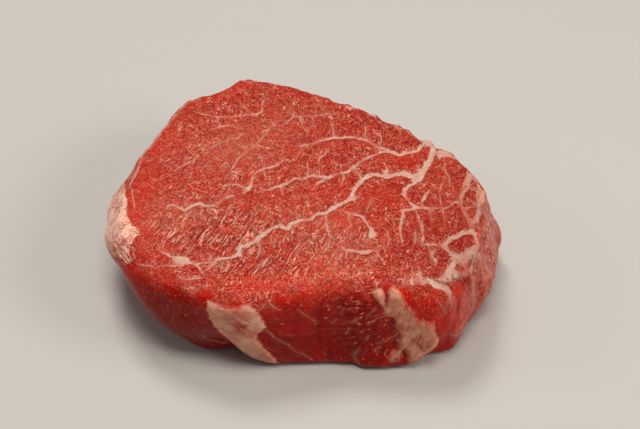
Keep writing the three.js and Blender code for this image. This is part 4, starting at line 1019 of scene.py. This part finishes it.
    # painted highlight on the crests of the membrane folds and painted shade in their troughs
    fold = g.attr("fold")
    wall = g.mix(g.mul(g.ramp(g.add(fold, g.around(streak, 0.9)), 0.15, 0.80), 0.42), wall, MEMBRANE_PALE)
    wall = g.mix(g.mul(g.ramp(g.add(fold, g.around(streak, 0.9)), -0.15, -0.70), 0.42), wall, WALL_DARK)
    d3, r3, k3 = grains(wp, (0.42, 0.42, 0.95), (1.7, 3.1, 0.4))
    rugged = g.attr("rugged")
    wall = g.mix(g.mul(g.ramp(k3, 0.4, 1.0), g.math("MULTIPLY_ADD", rugged, 0.45, 0.20)), wall, LEAN_DEEP)
    wall = g.mix(g.mul(g.ramp(r3, 0.5, 1.0), g.math("MULTIPLY_ADD", rugged, 0.30, 0.10)), wall, LEAN_BRIGHT)
    skin_grain = g.math("MULTIPLY_ADD", pink, 0.50, 0.03)
    wall = g.mix(g.mul(g.ramp(r4, 0.45, 1.0), skin_grain), wall, FLECK)
    wall = g.mix(g.mul(g.ramp(k4, 0.45, 1.0), g.math("MULTIPLY_ADD", pink, 0.50, 0.22)), wall, LEAN_DEEP)
    bits = g.mul(g.ramp(g.add(r3, g.mul(rugged, 0.10)), 0.97, 1.0), g.ramp(d3, 0.55, 0.35))
    wall = g.mix(g.mul(bits, 0.55), wall, FLECK)
    colour = g.mix(side, lean, wall)
    # painted light: the colour brightened in the bands along the rim
    colour = g.mix(painted_light, colour, g.mix(1.0, colour, (1.42, 1.42, 1.40, 1), "MULTIPLY"))

    # ---- seams
    seam_noise = g.noise(p, 2.6, 2.0)
    wob = g.add(g.around(g.noise(p, 1.3, 2.0), 1.7), g.around(n_fine, 1.5))
    wide = g.math("MULTIPLY", seam_half, g.ramp(g.noise(g.shifted(p, (7.0, 2.0, 5.0)), 1.9, 1.0), 0.30, 0.70, 0.62, 1.38))
    q = g.add(g.math("DIVIDE", g.math("ABSOLUTE", seam_side), wide), wob)
    gate = g.ramp(g.sub(seam_dist, seam_half), 1.1, 0.5)
    thick = g.ramp(seam_half, 0.28, 0.62)
    seam = g.mul(g.mul(g.ramp(q, 1.25, 0.85), gate), g.ramp(g.add(seam_noise, g.mul(thick, 0.25)), 0.40, 0.62, 0.30, 1.0))
    seam = g.mul(seam, g.math("MULTIPLY_ADD", side, -0.45, 1.0))
    halo = g.mul(g.ramp(g.sub(seam_dist, g.mul(seam_half, 0.6)), 1.2, -0.2), 0.16)
    colour = g.mix(halo, colour, NET)
    # painted shadow: a broken dark line along the near side of a seam
    seam_shadow = g.math("ABSOLUTE", g.add(g.math("DIVIDE", seam_side, wide), g.add(1.75, g.around(n_small, 1.6))))
    seam_shadow = g.mul(g.mul(g.ramp(seam_shadow, 0.75, 0.25), gate), g.mul(g.ramp(n_mid, 0.44, 0.56), g.math("MULTIPLY_ADD", thick, 0.45, 0.30)))
    colour = g.mix(seam_shadow, colour, CUT_SHADE_RED)
    fat_tint = g.mix(g.ramp(n_mid, 0.35, 0.65), FAT_PALE, FAT_PINK)
    fat_tint = g.mix(g.math("SUBTRACT", 0.55, g.mul(thick, 0.55)), fat_tint, FAT_THIN)
    fat_tint = g.mix(g.mul(g.ramp(r4, 0.5, 1.0), 0.45), fat_tint, FAT_RED)
    colour = g.mix(seam, colour, fat_tint)

    # ---- fat: solid in places, thin and red-mottled in others
    thin = g.attr("thin")
    fd = g.add(fat_dist, g.add(g.around(g.noise(p, 2.4, 2.0), 1.9), g.add(g.around(n_small, 1.3), g.around(n_fine, 0.7))))
    upright = g.noise(g.scaled(wp, (1 / 1.5, 1 / 1.5, 1 / 4.0)), 1.0, 3.0, 0.6)
    gone = g.mul(g.ramp(g.add(upright, g.around(n_small, 0.25)), 0.44, 0.60), thin)
    fat = g.mul(g.ramp(fd, g.math("MULTIPLY_ADD", thin, 0.6, 0.4), g.math("MULTIPLY_ADD", thin, -1.2, -0.4)), g.math("SUBTRACT", 1.0, g.mul(gone, 0.80)))
    wall_fat = g.mix(g.ramp(n_mid, 0.35, 0.68), WALL_FAT_PALE, WALL_FAT_PINK)
    mottle = g.add(g.mul(g.ramp(g.noise(p, 1.1, 3.0, 0.65), 0.50, 0.70), 0.40), g.mul(thin, 0.30))
    wall_fat = g.mix(mottle, wall_fat, FAT_RED)
    wall_fat = g.mix(g.mul(g.ramp(r3, 0.6, 1.0), 0.30), wall_fat, WALL_FAT_PALE)
    fat_all = g.mix(side, fat_tint, wall_fat)
    colour = g.mix(fat, colour, fat_all)

    # ---- the membrane over the left end: smooth and pale, with short dark wrinkles, breaking up into level striae below
    cap_dist, striae = g.attr("cap_dist"), g.attr("striae")
    tilt = g.new("ShaderNodeVectorRotate", rotation_type="X_AXIS")
    g.put(tilt.inputs["Vector"], p)
    tilt.inputs["Angle"].default_value = 0.45
    wrinkle = g.noise(g.scaled(tilt.outputs[0], (1 / 1.6, 1 / 2.6, 1 / 0.62)), 1.0, 1.5, 0.5)
    wrinkle_line = g.mul(g.ramp(g.math("ABSOLUTE", g.sub(wrinkle, 0.5)), 0.035, 0.010), g.ramp(n_mid, 0.44, 0.60))
    level = g.noise(g.scaled(p, (1 / 2.2, 1 / 2.2, 1 / 0.50)), 1.0, 1.5, 0.5)
    split_up = g.mul(g.around(level, 9.0), striae)
    cap_mask = g.ramp(g.add(cap_dist, g.add(split_up, g.add(g.around(n_fine, 1.0), g.around(n_small, 1.4)))), 0.35, -0.35)
    cap_tint = g.mix(g.ramp(n_mid, 0.35, 0.68), CAP_PALE, CAP_PINK)
    cap_tint = g.mix(g.mul(g.ramp(g.add(k4, g.around(n_small, 0.5)), 0.45, 1.0), 0.48), cap_tint, CAP_RED)
    cap_tint = g.mix(g.mul(g.ramp(r4, 0.55, 1.0), 0.45), cap_tint, CAP_LIGHT)
    cap_tint = g.mix(g.mul(wrinkle_line, 0.95), cap_tint, CAP_LINE)
    cap_tint = g.mix(g.mul(g.ramp(level, 0.50, 0.40), g.mul(striae, 0.75)), cap_tint, CAP_RED)
    colour = g.mix(cap_mask, colour, cap_tint)

    # painted shade: a deeper, redder colour in the listed places
    colour = g.mix(g.attr("painted_shade"), colour, g.mix(1.0, colour, (0.74, 0.56, 0.50, 1), "MULTIPLY"))
    # painted shade in the creases
    crease_and_shade = g.attr("crease_and_shade")
    colour = g.mix(g.mul(crease_and_shade, 0.50), colour, CREASE_SHADE)

    # ---- surface
    is_fat = g.math("MAXIMUM", g.math("MAXIMUM", seam, fat), cap_mask)
    rough = g.add(g.ramp(n_small, 0.3, 0.7, 0.24, 0.34), g.add(g.mul(is_fat, 0.08), g.mul(g.sub(1.0, busy), 0.10)))
    height = g.add(g.mul(g.ramp(d1, 0.0, 0.75), -0.40), g.add(g.mul(g.ramp(d2, 0.0, 0.75), -0.40), g.add(g.mul(pale_and_glint, 0.60), g.mul(fibre_crease_shadow, -0.75))))
    height = g.mul(height, g.mul(g.math("MULTIPLY_ADD", strength, 0.85, 0.15), g.math("SUBTRACT", 1.0, g.math("MAXIMUM", g.mul(is_fat, 0.6), g.mul(side, 0.9)))))
    height = g.add(height, g.mul(g.add(g.mul(grain, 0.7), g.mul(bits, 0.3)), side))
    height = g.add(height, g.mul(g.sub(g.mul(level, g.mul(striae, 2.0)), wrinkle_line), cap_mask))
    bump = g.new("ShaderNodeBump")
    bump.inputs["Strength"].default_value = 1.0
    bump.inputs["Distance"].default_value = 0.00025
    g.put(bump.inputs["Height"], height)
    bsdf = g.new("ShaderNodeBsdfPrincipled")
    g.put(bsdf.inputs["Base Color"], colour)
    g.put(bsdf.inputs["Roughness"], rough)
    g.put(bsdf.inputs["Normal"], bump.outputs[0])
    bsdf.inputs["IOR"].default_value = 1.35
    bsdf.inputs["Specular IOR Level"].default_value = 0.15
    bsdf.inputs["Subsurface Weight"].default_value = 0.08
    bsdf.inputs["Subsurface Radius"].default_value = (1.0, 0.25, 0.15)
    bsdf.inputs["Subsurface Scale"].default_value = 0.0012
    out = g.new("ShaderNodeOutputMaterial")
    g.put(out.inputs["Surface"], bsdf.outputs[0])
    return g.mat


def floor_material():
    g = Nodes("pale_floor")
    bsdf = g.new("ShaderNodeBsdfPrincipled")
    bsdf.inputs["Base Color"].default_value = (0.49, 0.478, 0.455, 1)
    bsdf.inputs["Roughness"].default_value = 0.75
    out = g.new("ShaderNodeOutputMaterial")
    g.put(out.inputs["Surface"], bsdf.outputs[0])
    return g.mat


mesh.materials.append(meat_material())
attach(steak, "root")
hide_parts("steak")

# ---------------------------------------------------------------- floor, light, camera
floor_mesh = bpy.data.meshes.new("floor")
floor_mesh.from_pydata([(-3, -3, -0.0001), (3, -3, -0.0001), (3, 3, -0.0001), (-3, 3, -0.0001)], [], [(0, 1, 2, 3)])
floor = bpy.data.objects.new("floor", floor_mesh)
bpy.context.scene.collection.objects.link(floor)
floor_mesh.materials.append(floor_material())


def soft_light(name, place, aim, size, power, colour=(1, 1, 1)):
    data = bpy.data.lights.new(name, "AREA")
    data.shape = "SQUARE"
    data.size = size
    data.energy = power
    data.color = colour
    ob = bpy.data.objects.new(name, data)
    bpy.context.scene.collection.objects.link(ob)
    ob.location = place
    from mathutils import Vector
    ob.rotation_euler = (Vector(aim) - Vector(place)).to_track_quat("-Z", "Y").to_euler()
    return ob


soft_light("key", (-0.14, 0.34, 0.86), (0, 0, 0.02), 0.26, 4.1, (1.0, 0.945, 0.88))
soft_light("top", (0.03, -0.18, 0.93), (0, 0, 0.02), 0.30, 4.0, (1.0, 0.945, 0.88))
soft_light("right", (0.70, -0.22, 0.58), (0, 0, 0.015), 0.35, 3.4, (1.0, 0.95, 0.88))
soft_light("left", (-0.8, 0.05, 0.50), (0, 0, 0.015), 0.35, 1.0, (1.0, 0.95, 0.88))
world = bpy.data.worlds.new("studio")
bpy.context.scene.world = world
world.use_nodes = True
world.node_tree.nodes["Background"].inputs[0].default_value = (1.0, 0.965, 0.92, 1)
world.node_tree.nodes["Background"].inputs[1].default_value = 0.145
bpy.context.scene.view_settings.view_transform = "Standard"

cam_data = bpy.data.cameras.new("camera")
cam_data.lens = 90
cam_data.sensor_width = 36
cam_data.clip_start = 0.01
cam_data.dof.use_dof = False
cam = bpy.data.objects.new("camera", cam_data)
bpy.context.scene.collection.objects.link(cam)
cam.location = (0.00502 - MIDDLE[0] / 1000, -0.32062 - MIDDLE[1] / 1000, 0.36283)
cam.rotation_euler = (math.radians(43), 0, 0)
bpy.context.scene.camera = cam

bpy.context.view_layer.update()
